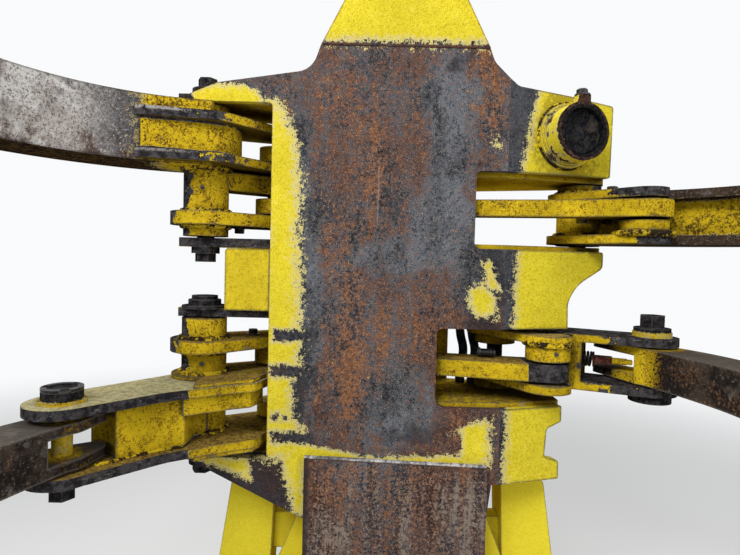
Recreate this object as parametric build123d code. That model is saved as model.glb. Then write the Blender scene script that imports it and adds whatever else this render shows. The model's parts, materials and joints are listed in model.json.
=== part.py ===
from build123d import *
import os
from math import cos, sin, tan, radians, degrees, atan2, hypot

os.makedirs("parts", exist_ok=True)

# Disc saw felling head. Millimetres, +Z up, front faces -Y, saw spindle axis on Z, skid sole at z = 0.

# main front plate and the side plates folded back from it
PLATE_FRONT = -100.0
PLATE_T = 28.0
PLATE_REAR = PLATE_FRONT + PLATE_T
BEND_X = 310.0
BEND_DEG = 15.0
LOWER_PLATE_T = 25.0
SLOPE = tan(radians(BEND_DEG))

# spine plate behind the ribs
SPINE_LEFT = -280.0
SPINE_RIGHT = 200.0
SPINE_FRONT = 262.0
SPINE_REAR = SPINE_FRONT + 26.0

# hinge axes of the arms, seen in plan
HINGE_L = (-598.0, -32.0)
HINGE_RU = (584.0, 65.0)
HINGE_RL = (345.0, 150.0)
HUB_R = 67.0
PIN_R = 26.0
HUB_GAP = 5.0
COLUMN_LEFT = HINGE_L[0] + 211.0

# saw housing and disc, from the sole up
SKID_T = 18.0
DISC_Z = SKID_T + 44.0
DISC_T = 26.0
DISC_TOP = DISC_Z + DISC_T
DECK_Z = DISC_TOP + 40.0
DECK_TOP = DECK_Z + 25.0
DISC_R = 655.0
TOOTH_TIP_R = DISC_R + 39.0
TOOTH_COUNT = 18
WALL_IN_R = TOOTH_TIP_R + 28.0
WALL_OUT_R = WALL_IN_R + 20.0
SPINDLE_R = 92.0
MAST_IN = 232.0
MAST_T = 25.0
MAST_OUT = MAST_IN + MAST_T

# heights of ribs, links and cylinders, each (underside, top), stacked from the lowest rib up
RIB_T = 28.0
RIB_THIN_T = 25.0
LINK_T = 52.0
LUG_T = 26.0
CYL_BAY = 92.0


def level(underside, thick):
    return (underside, underside + thick)


RIB_D = level(975.0, RIB_T)
CYL_L_Z = RIB_D[1] + CYL_BAY
LINK_L = level(CYL_L_Z + 153.0, LINK_T)
RIB_C = level(LINK_L[0] - 98.0, RIB_THIN_T - 3.0)
RIB_BR = level(LINK_L[1] + 105.0, RIB_THIN_T)
RIB_BL = level(LINK_L[1] + 114.0, RIB_THIN_T - 1.0)
RIB_A = level(RIB_BL[1] + 187.0, RIB_T - 1.0)
LINK_U = level(RIB_A[1] + 85.0, LINK_T - 2.0)
RIB_SR = level(LINK_U[1] + 65.0, RIB_T)
CYL_U_Z = LINK_U[1] + 145.0
RIB_TOP = level(CYL_U_Z + 120.0, RIB_T)
NECK_Z = RIB_TOP[1] + 145.0

# cranks that the sync links and rods pull on: radius, angle in plan
CRANK_LU = (230.0, 36.0)
CRANK_RU = (230.0, -60.0)
CRANK_LL = (240.0, 38.0)
CRANK_RL = (240.0, -62.0)

# hinged tips: distance and angle of their pins from the arm's hinge
TIP_AT_L = (420.0, 234.0)
TIP_AT_R = (478.0, -26.0)
TIP_PIN_R = 24.0

# curve of the upper arms in plan
BEAM_R = 580.0
BEAM_HALF = 100.0
BEAM_END_HALF = 30.0
CHANNEL_DEEP = 65.0

# clamp cylinders
ANCHOR = (260.0, 150.0)
BARREL_R = 44.0
ROD_R = 27.0
EYE_R = 52.0
EYE_T = 48.0

# rear mounting
PIVOT_BORE_R = 40.0
PIVOT_Y = 470.0
PIVOT_Z = 430.0
TILT_BORE_R = 32.0
TILT_Y = 430.0
TILT_Z = 1240.0


def polar(origin, radius, angle):
    return (origin[0] + radius * cos(radians(angle)), origin[1] + radius * sin(radians(angle)))


def outline(corners):
    # closed face through corners given as (x, y) or (x, y, corner radius)
    bends = []
    for index, corner in enumerate(corners):
        before = Vector(*corners[index - 1][:2])
        here = Vector(*corner[:2])
        after = Vector(*corners[(index + 1) % len(corners)][:2])
        if len(corner) == 2:
            bends.append((here, here, here))
            continue
        back = (before - here).normalized()
        ahead = (after - here).normalized()
        half = radians(back.get_angle(ahead)) / 2
        reach = corner[2] / tan(half)
        depth = corner[2] / sin(half) - corner[2]
        middle = here + (back + ahead).normalized() * depth
        bends.append((here + back * reach, middle, here + ahead * reach))
    edges = []
    for index, (first, middle, last) in enumerate(bends):
        if (last - first).length > 0.01:
            edges.append(ThreePointArc(first, middle, last))
        following = bends[(index + 1) % len(bends)][0]
        if (following - last).length > 0.01:
            edges.append(Line(last, following))
    return make_face(Wire(edges))


def slab(face, z0, z1):
    return extrude(Pos(0, 0, z0) * face, z1 - z0)


def plan_plate(corners, z0, z1):
    return slab(outline(corners), z0, z1)


def front_face(corners, y_rear, thick):
    plane = Plane(origin=(0, y_rear, 0), x_dir=(1, 0, 0), z_dir=(0, -1, 0))
    return extrude(plane * outline(corners), thick)


def post(center, radius, z0, z1):
    return Pos(center[0], center[1], (z0 + z1) / 2) * Cylinder(radius, z1 - z0)


def hexagon(center, radius, z0, z1):
    return extrude(Pos(center[0], center[1], z0) * RegularPolygon(radius, 6), z1 - z0)


def strap(one, two):
    # flat shape of a strap with two round ends, each (x, y, radius)
    x1, y1, r1 = one
    x2, y2, r2 = two
    heading = degrees(atan2(y2 - y1, x2 - x1))
    turn = 90.0 - degrees((r1 - r2) / hypot(x2 - x1, y2 - y1))
    left_1 = polar((x1, y1), r1, heading + turn)
    left_2 = polar((x2, y2), r2, heading + turn)
    right_1 = polar((x1, y1), r1, heading - turn)
    right_2 = polar((x2, y2), r2, heading - turn)
    middle = make_face(Polyline(left_1, left_2, right_2, right_1, close=True))
    return middle + Pos(x1, y1) * Circle(r1) + Pos(x2, y2) * Circle(r2)


def lug(hinge, hinge_r, end, end_r, z0, z1):
    return slab(strap((hinge[0], hinge[1], hinge_r), (end[0], end[1], end_r)), z0, z1)


def arc_beam(center, rows, z0, z1):
    # curved beam in plan; rows: angle seen from the curve's centre, inner radius, outer radius
    inner = [polar(center, row[1], row[0]) for row in rows]
    outer = [polar(center, row[2], row[0]) for row in rows]
    return slab(make_face(Wire([Spline(*inner), Line(inner[-1], outer[-1]), Spline(*reversed(outer)),
                                Line(outer[0], inner[0])])), z0, z1)


def right_line(x):
    # rear face of the folded side plates at a given x
    return PLATE_FRONT + PLATE_T / cos(radians(BEND_DEG)) + (x - BEND_X) * SLOPE


parts = {}

# front plate: column, left shoulder and left wing in one flat cut plate
LX, LY = HINGE_L
BOTTOM_Z = RIB_D[0] - 159.0
front_plate = front_face(
    [(-248, NECK_Z), (-274, NECK_Z - 75, 66), (-550, RIB_TOP[1] + 27, 60), (LX - 32, RIB_TOP[1] - 7),
     (LX - 14, RIB_TOP[0]), (COLUMN_LEFT, RIB_TOP[0], 13), (COLUMN_LEFT, RIB_D[0] + 21), (LX - 41, RIB_D[0] + 20),
     (-279, BOTTOM_Z), (276, BOTTOM_Z), (290, RIB_D[0] - 44), (BEND_X, RIB_D[0] - 44),
     (BEND_X, RIB_C[0] + 8), (114, RIB_C[0] + 8, 36), (114, RIB_BR[0] - 7, 16), (BEND_X, RIB_BR[0] - 7),
     (BEND_X, RIB_A[0] + 13), (218, RIB_A[0] + 13, 18), (218, RIB_SR[0] + 16, 18), (BEND_X, RIB_SR[0] + 16),
     (BEND_X, NECK_Z - 87), (262, NECK_Z - 40, 40), (247, NECK_Z)],
    PLATE_REAR, PLATE_T)
front_plate -= post(HINGE_L, 46, RIB_TOP[0] - 52, RIB_TOP[1] + 60)
front_plate -= post(HINGE_L, 46, RIB_D[0] - 75, RIB_D[0] + 1)
parts["front_plate"] = front_plate


# right side plates, folded back from the column
def side_plate(corners):
    turn = radians(BEND_DEG)
    plane = Plane(origin=(BEND_X, PLATE_FRONT, 0), x_dir=(cos(turn), sin(turn), 0), z_dir=(sin(turn), -cos(turn), 0))
    plate = extrude(plane * outline(corners), -PLATE_T)
    return plate - Pos(BEND_X - 500, 0, NECK_Z / 2) * Box(1000, 1000, 2 * NECK_Z)


SHOULDER_LOW = RIB_SR[0] + 16.0
LOBE_LOW = RIB_BR[0] - 5.0
LOBE_TOP = RIB_A[0] + 13.0
FLAP_LOW = RIB_D[0] - 44.0
FLAP_TOP = RIB_C[0] + 8.0
parts["right_shoulder_plate"] = side_plate(
    [(0, SHOULDER_LOW), (352, SHOULDER_LOW, 8), (355, RIB_TOP[1] + 10, 10), (194, RIB_TOP[1] + 27, 200),
     (28, RIB_TOP[1] + 39, 30), (0, NECK_Z - 87)])
parts["right_upper_lobe"] = side_plate(
    [(0, LOBE_LOW), (221, LOBE_LOW, 4), (218, LOBE_LOW + 80, 60), (246, LOBE_LOW + 132, 120),
     (338, LOBE_TOP - 51, 20), (338, LOBE_TOP, 8), (0, LOBE_TOP)])
parts["right_lower_lobe"] = side_plate(
    [(0, FLAP_LOW), (206, FLAP_LOW + 3, 4), (204, FLAP_LOW + 59, 8), (154, FLAP_LOW + 73, 14),
     (160, FLAP_TOP - 66, 14), (210, FLAP_TOP - 46, 8), (209, FLAP_TOP + 2), (0, FLAP_TOP)])
parts["left_lobe"] = front_face(
    [(-520, RIB_BL[1]), (COLUMN_LEFT, RIB_BL[1]), (COLUMN_LEFT, RIB_A[0] - 3), (-520, RIB_A[0] - 3, 10)],
    PLATE_REAR, PLATE_T)

# narrower wear plate below, lying on the mast walls
parts["lower_plate"] = front_face(
    [(-271, DECK_TOP), (272, DECK_TOP), (272, RIB_D[0] + 10), (-271, RIB_D[1])], PLATE_FRONT, LOWER_PLATE_T)


# rib plates between the front plate and the spine plate
def hole(center, at):
    return post(center, PIN_R, at[0] - 1, at[1] + 1)


def left_rib(corners, at, eye_r):
    # rib with a round eye at the left hinge, cut off at the back of the front plate
    body = plan_plate(corners, at[0], at[1]) + post(HINGE_L, eye_r, at[0], at[1])
    body -= Pos(0, PLATE_REAR - 250, (at[0] + at[1]) / 2) * Box(4000, 500, 2 * RIB_T)
    return body - hole(HINGE_L, at)


LEFT_BACK = (LX - 22, LY + 75)
SPINE_BACK_L = (SPINE_LEFT, SPINE_FRONT)
SPINE_BACK_R = (SPINE_RIGHT, SPINE_FRONT)
UPPER_END = [(HINGE_RU[0] + 74, HINGE_RU[1] - 5, 40), (HINGE_RU[0] + 16, HINGE_RU[1] + 90, 60)]
FOLD = (BEND_X, right_line(BEND_X))

parts["rib_top"] = left_rib(
    [(LX - 42, PLATE_REAR), (BEND_X - 10, PLATE_REAR), (500, 20, 30), (440, 120, 60), SPINE_BACK_R, SPINE_BACK_L,
     LEFT_BACK], RIB_TOP, 84)

body = plan_plate([(60, PLATE_REAR), (BEND_X, PLATE_REAR), FOLD, (HINGE_RU[0] + 56, right_line(HINGE_RU[0] + 56))]
                  + UPPER_END + [(SPINE_RIGHT + 60, SPINE_FRONT), (60, SPINE_FRONT)], RIB_SR[0], RIB_SR[1])
parts["rib_right_shoulder"] = body - hole(HINGE_RU, RIB_SR) - parts["right_shoulder_plate"]

body = left_rib([(LX + 38, PLATE_REAR), (BEND_X, PLATE_REAR), FOLD, (HINGE_RU[0] + 46, right_line(HINGE_RU[0] + 46))]
                + UPPER_END + [(SPINE_RIGHT + 60, SPINE_FRONT), SPINE_BACK_L, LEFT_BACK], RIB_A, 78)
parts["rib_a"] = body - hole(HINGE_RU, RIB_A) - parts["right_upper_lobe"]

parts["rib_b_left"] = left_rib(
    [(LX + 38, PLATE_REAR), (40, PLATE_REAR), (40, SPINE_FRONT), SPINE_BACK_L, LEFT_BACK], RIB_BL, 78)

LOWER_END = [(HINGE_RL[0] + 165, HINGE_RL[1] - 50, 50), (HINGE_RL[0] + 85, HINGE_RL[1] + 62, 60)]
body = plan_plate([(40, PLATE_REAR), (BEND_X, PLATE_REAR), FOLD, (HINGE_RL[0] + 165, right_line(HINGE_RL[0] + 165))]
                  + LOWER_END + [SPINE_BACK_R, (40, SPINE_FRONT)], RIB_BR[0], RIB_BR[1])
parts["rib_b_right"] = body - hole(HINGE_RL, RIB_BR) - parts["right_upper_lobe"]

body = plan_plate([(0, PLATE_REAR), (BEND_X, PLATE_REAR), FOLD, (HINGE_RL[0] + 165, right_line(HINGE_RL[0] + 165))]
                  + LOWER_END + [SPINE_BACK_R, (0, SPINE_FRONT)], RIB_C[0], RIB_C[1])
parts["rib_c"] = body - hole(HINGE_RL, RIB_C) - parts["right_lower_lobe"]

body = left_rib([(LX + 10, PLATE_REAR), (BEND_X, PLATE_REAR), FOLD, (450, right_line(450)), (470, 90, 50),
                 (400, 205, 60), (SPINE_RIGHT + 60, SPINE_FRONT), SPINE_BACK_L, LEFT_BACK], RIB_D, 78)
parts["rib_d"] = body - parts["right_lower_lobe"]

# spine plate, wider beside the saw drive, and the block between the two pairs of arms
spine = front_face([(SPINE_LEFT, DECK_TOP), (280, DECK_TOP), (280, RIB_D[0] - 60, 20), (SPINE_RIGHT, RIB_D[0] + 40, 60),
                    (SPINE_RIGHT, NECK_Z), (SPINE_LEFT, NECK_Z)], SPINE_REAR, SPINE_REAR - SPINE_FRONT)
parts["spine_back"] = spine
parts["spine_mid"] = plan_plate([(SPINE_LEFT, PLATE_REAR), (SPINE_RIGHT, PLATE_REAR), SPINE_BACK_R, SPINE_BACK_L],
                                RIB_BL[1], RIB_A[0])

# lower mast walls around the saw drive
walls = Part()
for side in (-1, 1):
    walls += plan_plate([(side * MAST_IN, PLATE_REAR), (side * MAST_OUT, PLATE_REAR), (side * MAST_OUT, SPINE_FRONT),
                         (side * MAST_IN, SPINE_FRONT)], DECK_TOP, RIB_D[0])
    walls += plan_plate([(side * MAST_IN, PLATE_FRONT + LOWER_PLATE_T), (side * MAST_OUT, PLATE_FRONT + LOWER_PLATE_T),
                         (side * MAST_OUT, PLATE_REAR), (side * MAST_IN, PLATE_REAR)], DECK_TOP, BOTTOM_Z)
parts["mast_walls"] = walls

# horn: keeps narrowing above the shoulders and leans forward; rows: z, half width, front y, back y
low_rows = [(RIB_TOP[1], 225, PLATE_REAR, SPINE_FRONT), (NECK_Z, 225, PLATE_REAR, 200)]
tip_rows = [(NECK_Z, 248, PLATE_FRONT, 200), (NECK_Z + 142, 171, PLATE_FRONT - 14, 90),
            (NECK_Z + 275, 104, PLATE_FRONT - 72, -40), (NECK_Z + 395, 62, PLATE_FRONT - 162, -160)]


def lofted(rows):
    return loft([Pos(0, (y0 + y1) / 2, z) * Rectangle(2 * half, y1 - y0) for z, half, y0, y1 in rows], ruled=True)


parts["horn"] = lofted(low_rows) + lofted(tip_rows)

# bumper tube on the right shoulder, square to the folded plate, with its filler of rubber
BUMPER_X = 497.0
BUMPER_Z = RIB_TOP[0] - 67.0
BUMPER_BORE_R = 66.0
BUMPER_LONG = 82.0
turn = radians(BEND_DEG)
axis_out = Vector(sin(turn), -cos(turn), 0)
foot = Vector(BUMPER_X, right_line(BUMPER_X) - PLATE_T / cos(turn), BUMPER_Z) + axis_out


def bumper_ring(radius, start, deep):
    return extrude(Plane(foot + axis_out * start, (cos(turn), sin(turn), 0), axis_out) * Circle(radius), deep)


tube = bumper_ring(97, 0, 10) + bumper_ring(90, 10, 8) + bumper_ring(84, 18, BUMPER_LONG - 18)
ear = Plane(foot + axis_out * (BUMPER_LONG - 34), (cos(turn), sin(turn), 0), axis_out)
tube += extrude(ear * Pos(0, 92) * RectangleRounded(36, 36, 10), 34)
parts["bumper_tube"] = tube - bumper_ring(BUMPER_BORE_R, -5, BUMPER_LONG + 10)
parts["bumper_rubber"] = bumper_ring(BUMPER_BORE_R, 0, BUMPER_LONG - 12)

# side legs from the deck up to the wings, wider at the foot, with their gussets
LEG_TOP = RIB_D[0] - 54.0
LEG_SHIFT = -15.0
LEG_Y = (20.0, 150.0)
for side, name in ((-1, "leg_left"), (1, "leg_right")):
    leg = front_face([(side * 362 + LEG_SHIFT, LEG_TOP), (side * 497 + LEG_SHIFT, LEG_TOP, 45),
                      (side * 612 + LEG_SHIFT, DECK_TOP), (side * 396 + LEG_SHIFT, DECK_TOP)],
                     LEG_Y[1], LEG_Y[1] - LEG_Y[0])
    leg -= front_face([(side * 398 + LEG_SHIFT, LEG_TOP - 40), (side * 480 + LEG_SHIFT, LEG_TOP - 40),
                       (side * 580 + LEG_SHIFT, DECK_TOP + 30), (side * 420 + LEG_SHIFT, DECK_TOP + 30)],
                      LEG_Y[1] + 1, 90)
    leg += front_face([(side * MAST_OUT, LEG_TOP - 280), (side * 400 + LEG_SHIFT, LEG_TOP - 280),
                       (side * 382 + LEG_SHIFT, LEG_TOP - 160), (side * MAST_OUT, LEG_TOP - 160)], 115, 60)
    leg += front_face([(side * MAST_OUT, LEG_TOP - 30), (side * 420, DECK_TOP + 345), (side * 420, DECK_TOP),
                       (side * MAST_OUT, DECK_TOP)], LEG_Y[0], 20)
    parts[name] = leg

# saw housing: sole, deck and round side wall, open at the front
MOUTH_BACK = -126.0
MOUTH_HALF = 300.0
mouth = plan_plate([(-MOUTH_HALF, MOUTH_BACK, 40), (MOUTH_HALF, MOUTH_BACK, 40), (0.7 * WALL_OUT_R, -330, 60),
                    (0.82 * WALL_OUT_R, -WALL_OUT_R - 160), (-0.82 * WALL_OUT_R, -WALL_OUT_R - 160),
                    (-0.7 * WALL_OUT_R, -330, 60)], -10, DECK_TOP + 200)
sole = post((0, 0), WALL_OUT_R, 0, SKID_T) - Pos(0, -WALL_OUT_R - 330, 0) * Box(3 * WALL_OUT_R, 2 * WALL_OUT_R, 200)
parts["skid"] = sole + post((0, 0), 0.855 * DISC_R, 0, SKID_T)
parts["deck"] = post((0, 0), WALL_OUT_R, DECK_Z, DECK_TOP) - mouth - post((0, 0), SPINDLE_R, 0, 400)
parts["saw_wall"] = post((0, 0), WALL_OUT_R, SKID_T, DECK_Z) - post((0, 0), WALL_IN_R, 0, DECK_TOP) - mouth

# saw drive
SPINDLE_TOP = DECK_TOP + 247.0
MOTOR_Z = SPINDLE_TOP + 30.0
parts["spindle_housing"] = (post((0, 0), SPINDLE_R, DECK_Z - 20, SPINDLE_TOP) + post((0, 0), 74, SPINDLE_TOP, MOTOR_Z))
parts["saw_motor"] = (post((0, 0), 70, MOTOR_Z, MOTOR_Z + 170) + Pos(0, 60, MOTOR_Z + 70) * Box(90, 120, 80)
                      + post((0, 0), 52, MOTOR_Z + 170, MOTOR_Z + 200))
LEDGE_Y = (SPINE_FRONT + PLATE_FRONT) / 2
ledge = Pos(0, LEDGE_Y, SPINDLE_TOP - 20) * Box(2 * MAST_IN, SPINE_FRONT - PLATE_FRONT, 24)
parts["motor_ledge"] = ledge - post((0, 0), SPINDLE_R, DECK_TOP, MOTOR_Z) - parts["lower_plate"]

# saw disc with bolted tooth holders and its hub
parts["saw_hub"] = (post((0, 0), 60, SKID_T + 14, DECK_Z - 20.4) + post((0, 0), 125, DISC_TOP, DISC_TOP + 12)
                    + post((0, 0), 110, DISC_Z - 14, DISC_Z))
gullet = plan_plate([(DISC_R - 34, -16, 8), (DISC_R + 60, -60), (DISC_R + 60, 34), (DISC_R - 12, 22)],
                    DISC_Z - 1, DISC_TOP + 1)
tooth = plan_plate([(DISC_R - 34, -16), (DISC_R + 20, -26), (TOOTH_TIP_R, -20), (DISC_R + 24, 20),
                    (DISC_R - 12, 22)], DISC_Z - 4, DISC_TOP + 4)
disc = post((0, 0), DISC_R, DISC_Z, DISC_TOP) - post((0, 0), 60, 0, DECK_TOP)
teeth = Part()
for index in range(TOOTH_COUNT):
    place = Rot(0, 0, index * 360.0 / TOOTH_COUNT)
    disc -= place * gullet
    teeth += place * tooth
parts["saw_disc"] = disc - teeth
parts["saw_teeth"] = teeth

# hinge pins: each with its head above the top rib and its nut under the lowest one
HEX_HEAD = [(45, 22, False), (29, 33, True)]
CAP_HEAD = [(68, 8, False), (49, 18, False), (39, 12, False)]
FOOT = [(42, 20, False), (32, 26, True)]


def pin(center, z0, z1, head):
    body = post(center, PIN_R, z0, z1)
    at = z1
    for radius, tall, six_sided in head:
        body += hexagon(center, radius, at, at + tall) if six_sided else post(center, radius, at, at + tall)
        at += tall
    at = z0
    for radius, tall, six_sided in FOOT:
        body += hexagon(center, radius, at - tall, at) if six_sided else post(center, radius, at - tall, at)
        at -= tall
    return body


parts["pin_left_upper"] = pin(HINGE_L, RIB_A[0], RIB_TOP[1], HEX_HEAD)
parts["pin_left_lower"] = pin(HINGE_L, RIB_D[0], RIB_BL[1], CAP_HEAD)
parts["pin_right_upper"] = pin(HINGE_RU, RIB_A[0], RIB_SR[1], HEX_HEAD)
parts["pin_right_lower"] = pin(HINGE_RL, RIB_C[0], RIB_BR[1], HEX_HEAD)


# rear mounting ears: a pair of bored plates each
def ear_pair(outer_x, thick, y, z, foot_half, nose_r, bore_r):
    pair = Part()
    for side in (-1, 1):
        plane = Plane(origin=(side * (outer_x - thick), 0, 0), x_dir=(0, side, 0), z_dir=(side, 0, 0))
        shape = outline([(side * SPINE_REAR, z - foot_half), (side * SPINE_REAR, z + foot_half),
                         (side * y, z + nose_r), (side * y, z - nose_r)]) + Pos(side * y, z) * Circle(nose_r)
        pair += extrude(plane * shape, thick)
    return pair - Pos(0, y, z) * Rot(0, 90, 0) * Cylinder(bore_r, 4 * outer_x)


parts["pivot_ears"] = ear_pair(MAST_OUT, 50, PIVOT_Y, PIVOT_Z, 190, 80, PIVOT_BORE_R)
parts["tilt_ears"] = ear_pair(85, 35, TILT_Y, TILT_Z, 165, 64, TILT_BORE_R)

# cylinder anchors on the frame
SHELF_Z = CYL_U_Z + BARREL_R + 9.0
parts["anchor_upper"] = (post(ANCHOR, 22, RIB_SR[1], SHELF_Z + 37)
                         + plan_plate([(110, SPINE_FRONT), SPINE_BACK_R, (ANCHOR[0] + 45, ANCHOR[1] + 50, 20),
                                       (ANCHOR[0] + 45, ANCHOR[1] - 45, 40), (ANCHOR[0] - 45, ANCHOR[1] - 45, 40),
                                       (110, 200, 20)], SHELF_Z, SHELF_Z + 23))
parts["anchor_lower"] = post(ANCHOR, 22, RIB_D[1], RIB_C[0])

# crank pins and tip pins
CU_L = polar(HINGE_L, *CRANK_LU)
CU_R = polar(HINGE_RU, *CRANK_RU)
CL_L = polar(HINGE_L, *CRANK_LL)
CL_R = polar(HINGE_RL, *CRANK_RL)
TIP_L = polar(HINGE_L, *TIP_AT_L)
TIP_R = polar(HINGE_RL, *TIP_AT_R)


def bore(center, radius, solid):
    return solid - post(center, radius, 0, 2 * NECK_Z)


def main_piece(shape):
    # the largest solid, without slivers that a cut left beside it
    return max(shape.solids(), key=lambda solid: solid.volume)


# upper left arm: hub, cylinder lugs that lap onto the beam, crank plate and bar
LUG_UP = level(CYL_U_Z + 53, LUG_T)
LUG_LOW = level(CYL_U_Z - 64, LUG_T)
BEAM_UL = (LUG_LOW[0] - 6, RIB_TOP[0] - HUB_GAP)
CRANK_U = level(LINK_U[0] - 47, 40)
beam_center_l = polar(HINGE_L, BEAM_R, -80)
lap = polar(beam_center_l, BEAM_R - 78, 118)
hub = post(HINGE_L, HUB_R, RIB_A[1] + HUB_GAP, BEAM_UL[1])
for at in (LUG_UP, LUG_LOW):
    hub += lug(HINGE_L, 132, CU_L, 66, at[0], at[1]) + lug(HINGE_L, 132, lap, 36, at[0], at[1])
hub += lug(HINGE_L, 104, lap, 24, LUG_LOW[1], LUG_UP[0])
hub += lug(HINGE_L, 104, CU_L, 66, CRANK_U[0], CRANK_U[1])
hub += lug(HINGE_L, 40, CU_L, 40, LINK_U[1] + 13, LINK_U[1] + 69)
hub += post(CU_L, 24, CRANK_U[0], LUG_LOW[0])
hub = bore(HINGE_L, PIN_R + 0.5, hub)
parts["arm_ul_hub"] = hub


def beam_rows(first, last, inner_shift, step_count=9):
    # rows for a beam that keeps its thickness at the root and thins towards its end
    rows = []
    for index in range(step_count):
        part = index / (step_count - 1)
        half = BEAM_HALF + (BEAM_END_HALF - BEAM_HALF) * part ** 1.5
        rows.append((first + (last - first) * part, BEAM_R - half + inner_shift * (1 - part), BEAM_R + half))
    return rows


beam = arc_beam(beam_center_l, beam_rows(97, 250, 0), BEAM_UL[0], BEAM_UL[1])
beam += post(polar(beam_center_l, BEAM_R, 250), BEAM_END_HALF, BEAM_UL[0], BEAM_UL[1])
parts["arm_ul_beam"] = main_piece(bore(HINGE_L, HUB_R, beam) - hub)

# room that the upper link and its right eye sweep inside the right arm while both arms close
UPPER_SWING = 85.0
UPPER_LINK = (62.0, 0.567, 0.84, 33.0, 75.0)
LOWER_LINK = (62.0, 0.5, 0.62, 54.0, 62.0)
ROOM = 7.0
ROOM_STEPS = 12


def heading(one, two):
    return degrees(atan2(two[1] - one[1], two[0] - one[0]))


def swung(point, center, angle):
    reach = hypot(point[0] - center[0], point[1] - center[1])
    return polar(center, reach, heading(center, point) + angle)


def share_point(one, two, share):
    return (one[0] + share * (two[0] - one[0]), one[1] + share * (two[1] - one[1]))


link_long = hypot(CU_R[0] - CU_L[0], CU_R[1] - CU_L[1])
open_heading = heading(CU_L, CU_R)
closed_heading = heading(swung(CU_L, HINGE_L, UPPER_SWING), swung(CU_R, HINGE_RU, -UPPER_SWING))
link_rooms = []
for step in range(ROOM_STEPS + 1):
    part = step / ROOM_STEPS
    swing = UPPER_SWING * part
    left_eye = swung(CU_L, HINGE_L, swing)
    right_eye = polar(left_eye, link_long, open_heading + part * (closed_heading - open_heading))
    left_eye, right_eye = swung(left_eye, HINGE_RU, swing), swung(right_eye, HINGE_RU, swing)
    waist = share_point(left_eye, right_eye, UPPER_LINK[2])
    link_rooms.append(strap((waist[0], waist[1], UPPER_LINK[3] + ROOM),
                            (right_eye[0], right_eye[1], UPPER_LINK[4] + ROOM)))


def clear_of_link(solid):
    for face in link_rooms:
        solid -= slab(face, LINK_U[0] - 8, FLANGE_UP[0])
    return solid


# upper right arm: hub, lugs with a boss under the link, open channel beam
FLANGE_UP = level(LINK_U[1] + 9, LUG_T)
FLANGE_LOW = level(LINK_U[0] - 75, LUG_T + 1)
beam_center_r = polar(HINGE_RU, BEAM_R, 260)
hub = post(HINGE_RU, HUB_R, RIB_A[1] + HUB_GAP, RIB_SR[0] - HUB_GAP)
hub += lug(HINGE_RU, 96, CU_R, 62, FLANGE_UP[0], FLANGE_UP[1])
hub += lug(HINGE_RU, 96, CU_R, 72, FLANGE_LOW[0], FLANGE_LOW[1])
hub += post(CU_R, 66, FLANGE_LOW[1], LINK_U[0] - 8) + post(CU_R, 76, FLANGE_LOW[1], FLANGE_LOW[1] + 12)
hub = clear_of_link(bore(HINGE_RU, PIN_R + 0.5, hub))
parts["arm_ur_hub"] = hub
beam = arc_beam(beam_center_r, beam_rows(78, -58, 0), FLANGE_UP[0], FLANGE_UP[1])
beam += arc_beam(beam_center_r, beam_rows(78, -58, 0), FLANGE_LOW[0], FLANGE_LOW[1])
beam += arc_beam(beam_center_r, beam_rows(78, -58, CHANNEL_DEEP), FLANGE_LOW[1], FLANGE_UP[0])
beam += post(polar(beam_center_r, BEAM_R, -58), BEAM_END_HALF, FLANGE_LOW[0], FLANGE_UP[1])
parts["arm_ur_beam"] = main_piece(clear_of_link(bore(HINGE_RU, HUB_R, beam)) - hub)

# lower left arm: two long plates with a box between them that stops short of the tip's fork
PLATE_UP = level(LINK_L[0] - 45, 25)
PLATE_LOW = level(CYL_L_Z - 59, LUG_T)
CRANK_L = level(LINK_L[1] + 8, 37)


def from_hinge(points):
    return [(LX + x, LY + y) for x, y in points]


edge = from_hinge([(179, -99), (104, -139), (20, -195), (-26, -226), (-76, -279), (-122, -330), (-166, -380)])
web_face = make_face(Wire([Spline(*edge), Line(edge[-1], TIP_L), Line(TIP_L, HINGE_L),
                           Line(HINGE_L, (LX + 206, LY - 22)), Line((LX + 206, LY - 22), edge[0])]))
plate = web_face + strap((LX, LY, 72), (TIP_L[0], TIP_L[1], 88)) + strap((LX, LY, 100), (CL_L[0], CL_L[1], 70))
box = make_face(Polyline(*from_hinge([(0, 0), (2, -178), (-42, -203), (-96, -251), (-144, -302), (-190, -352)]),
                         TIP_L, close=True)) + strap((LX, LY, 60), (TIP_L[0], TIP_L[1], 62))
doubler = make_face(Polyline(*from_hinge([(0, 0), (28, -184), (104, -132), (174, -96), (198, -22)]), close=True))
doubler += strap((LX, LY, 96), (CL_L[0], CL_L[1], 66))
skirt = make_face(Polyline(*from_hinge([(0, 0), (0, -192), (28, -176), (104, -122), (166, -88), (188, -20)]),
                           close=True))
beam = slab(plate, PLATE_UP[0], PLATE_UP[1]) + slab(plate, PLATE_LOW[0], PLATE_LOW[1])
beam += slab(box, PLATE_LOW[1], PLATE_UP[0]) - post(TIP_L, 120, PLATE_LOW[1], PLATE_UP[0])
beam = bore(TIP_L, TIP_PIN_R, bore(HINGE_L, HUB_R, beam))
hub = post(HINGE_L, HUB_R, RIB_D[1] + HUB_GAP, RIB_BL[0] - HUB_GAP)
hub += lug(HINGE_L, 100, CL_L, 66, CRANK_L[0], CRANK_L[1])
hub += slab(doubler, PLATE_UP[1], PLATE_UP[1] + 12) + slab(doubler, PLATE_LOW[0] - 12, PLATE_LOW[0])
hub += slab(skirt, PLATE_UP[0] - 50, PLATE_UP[0]) - slab(box, PLATE_UP[0] - 51, PLATE_UP[0])
hub += post(CL_L, 24, PLATE_UP[1], CRANK_L[0])
parts["arm_ll_hub"] = bore(HINGE_L, PIN_R + 0.5, hub)
parts["arm_ll_beam"] = beam

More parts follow.
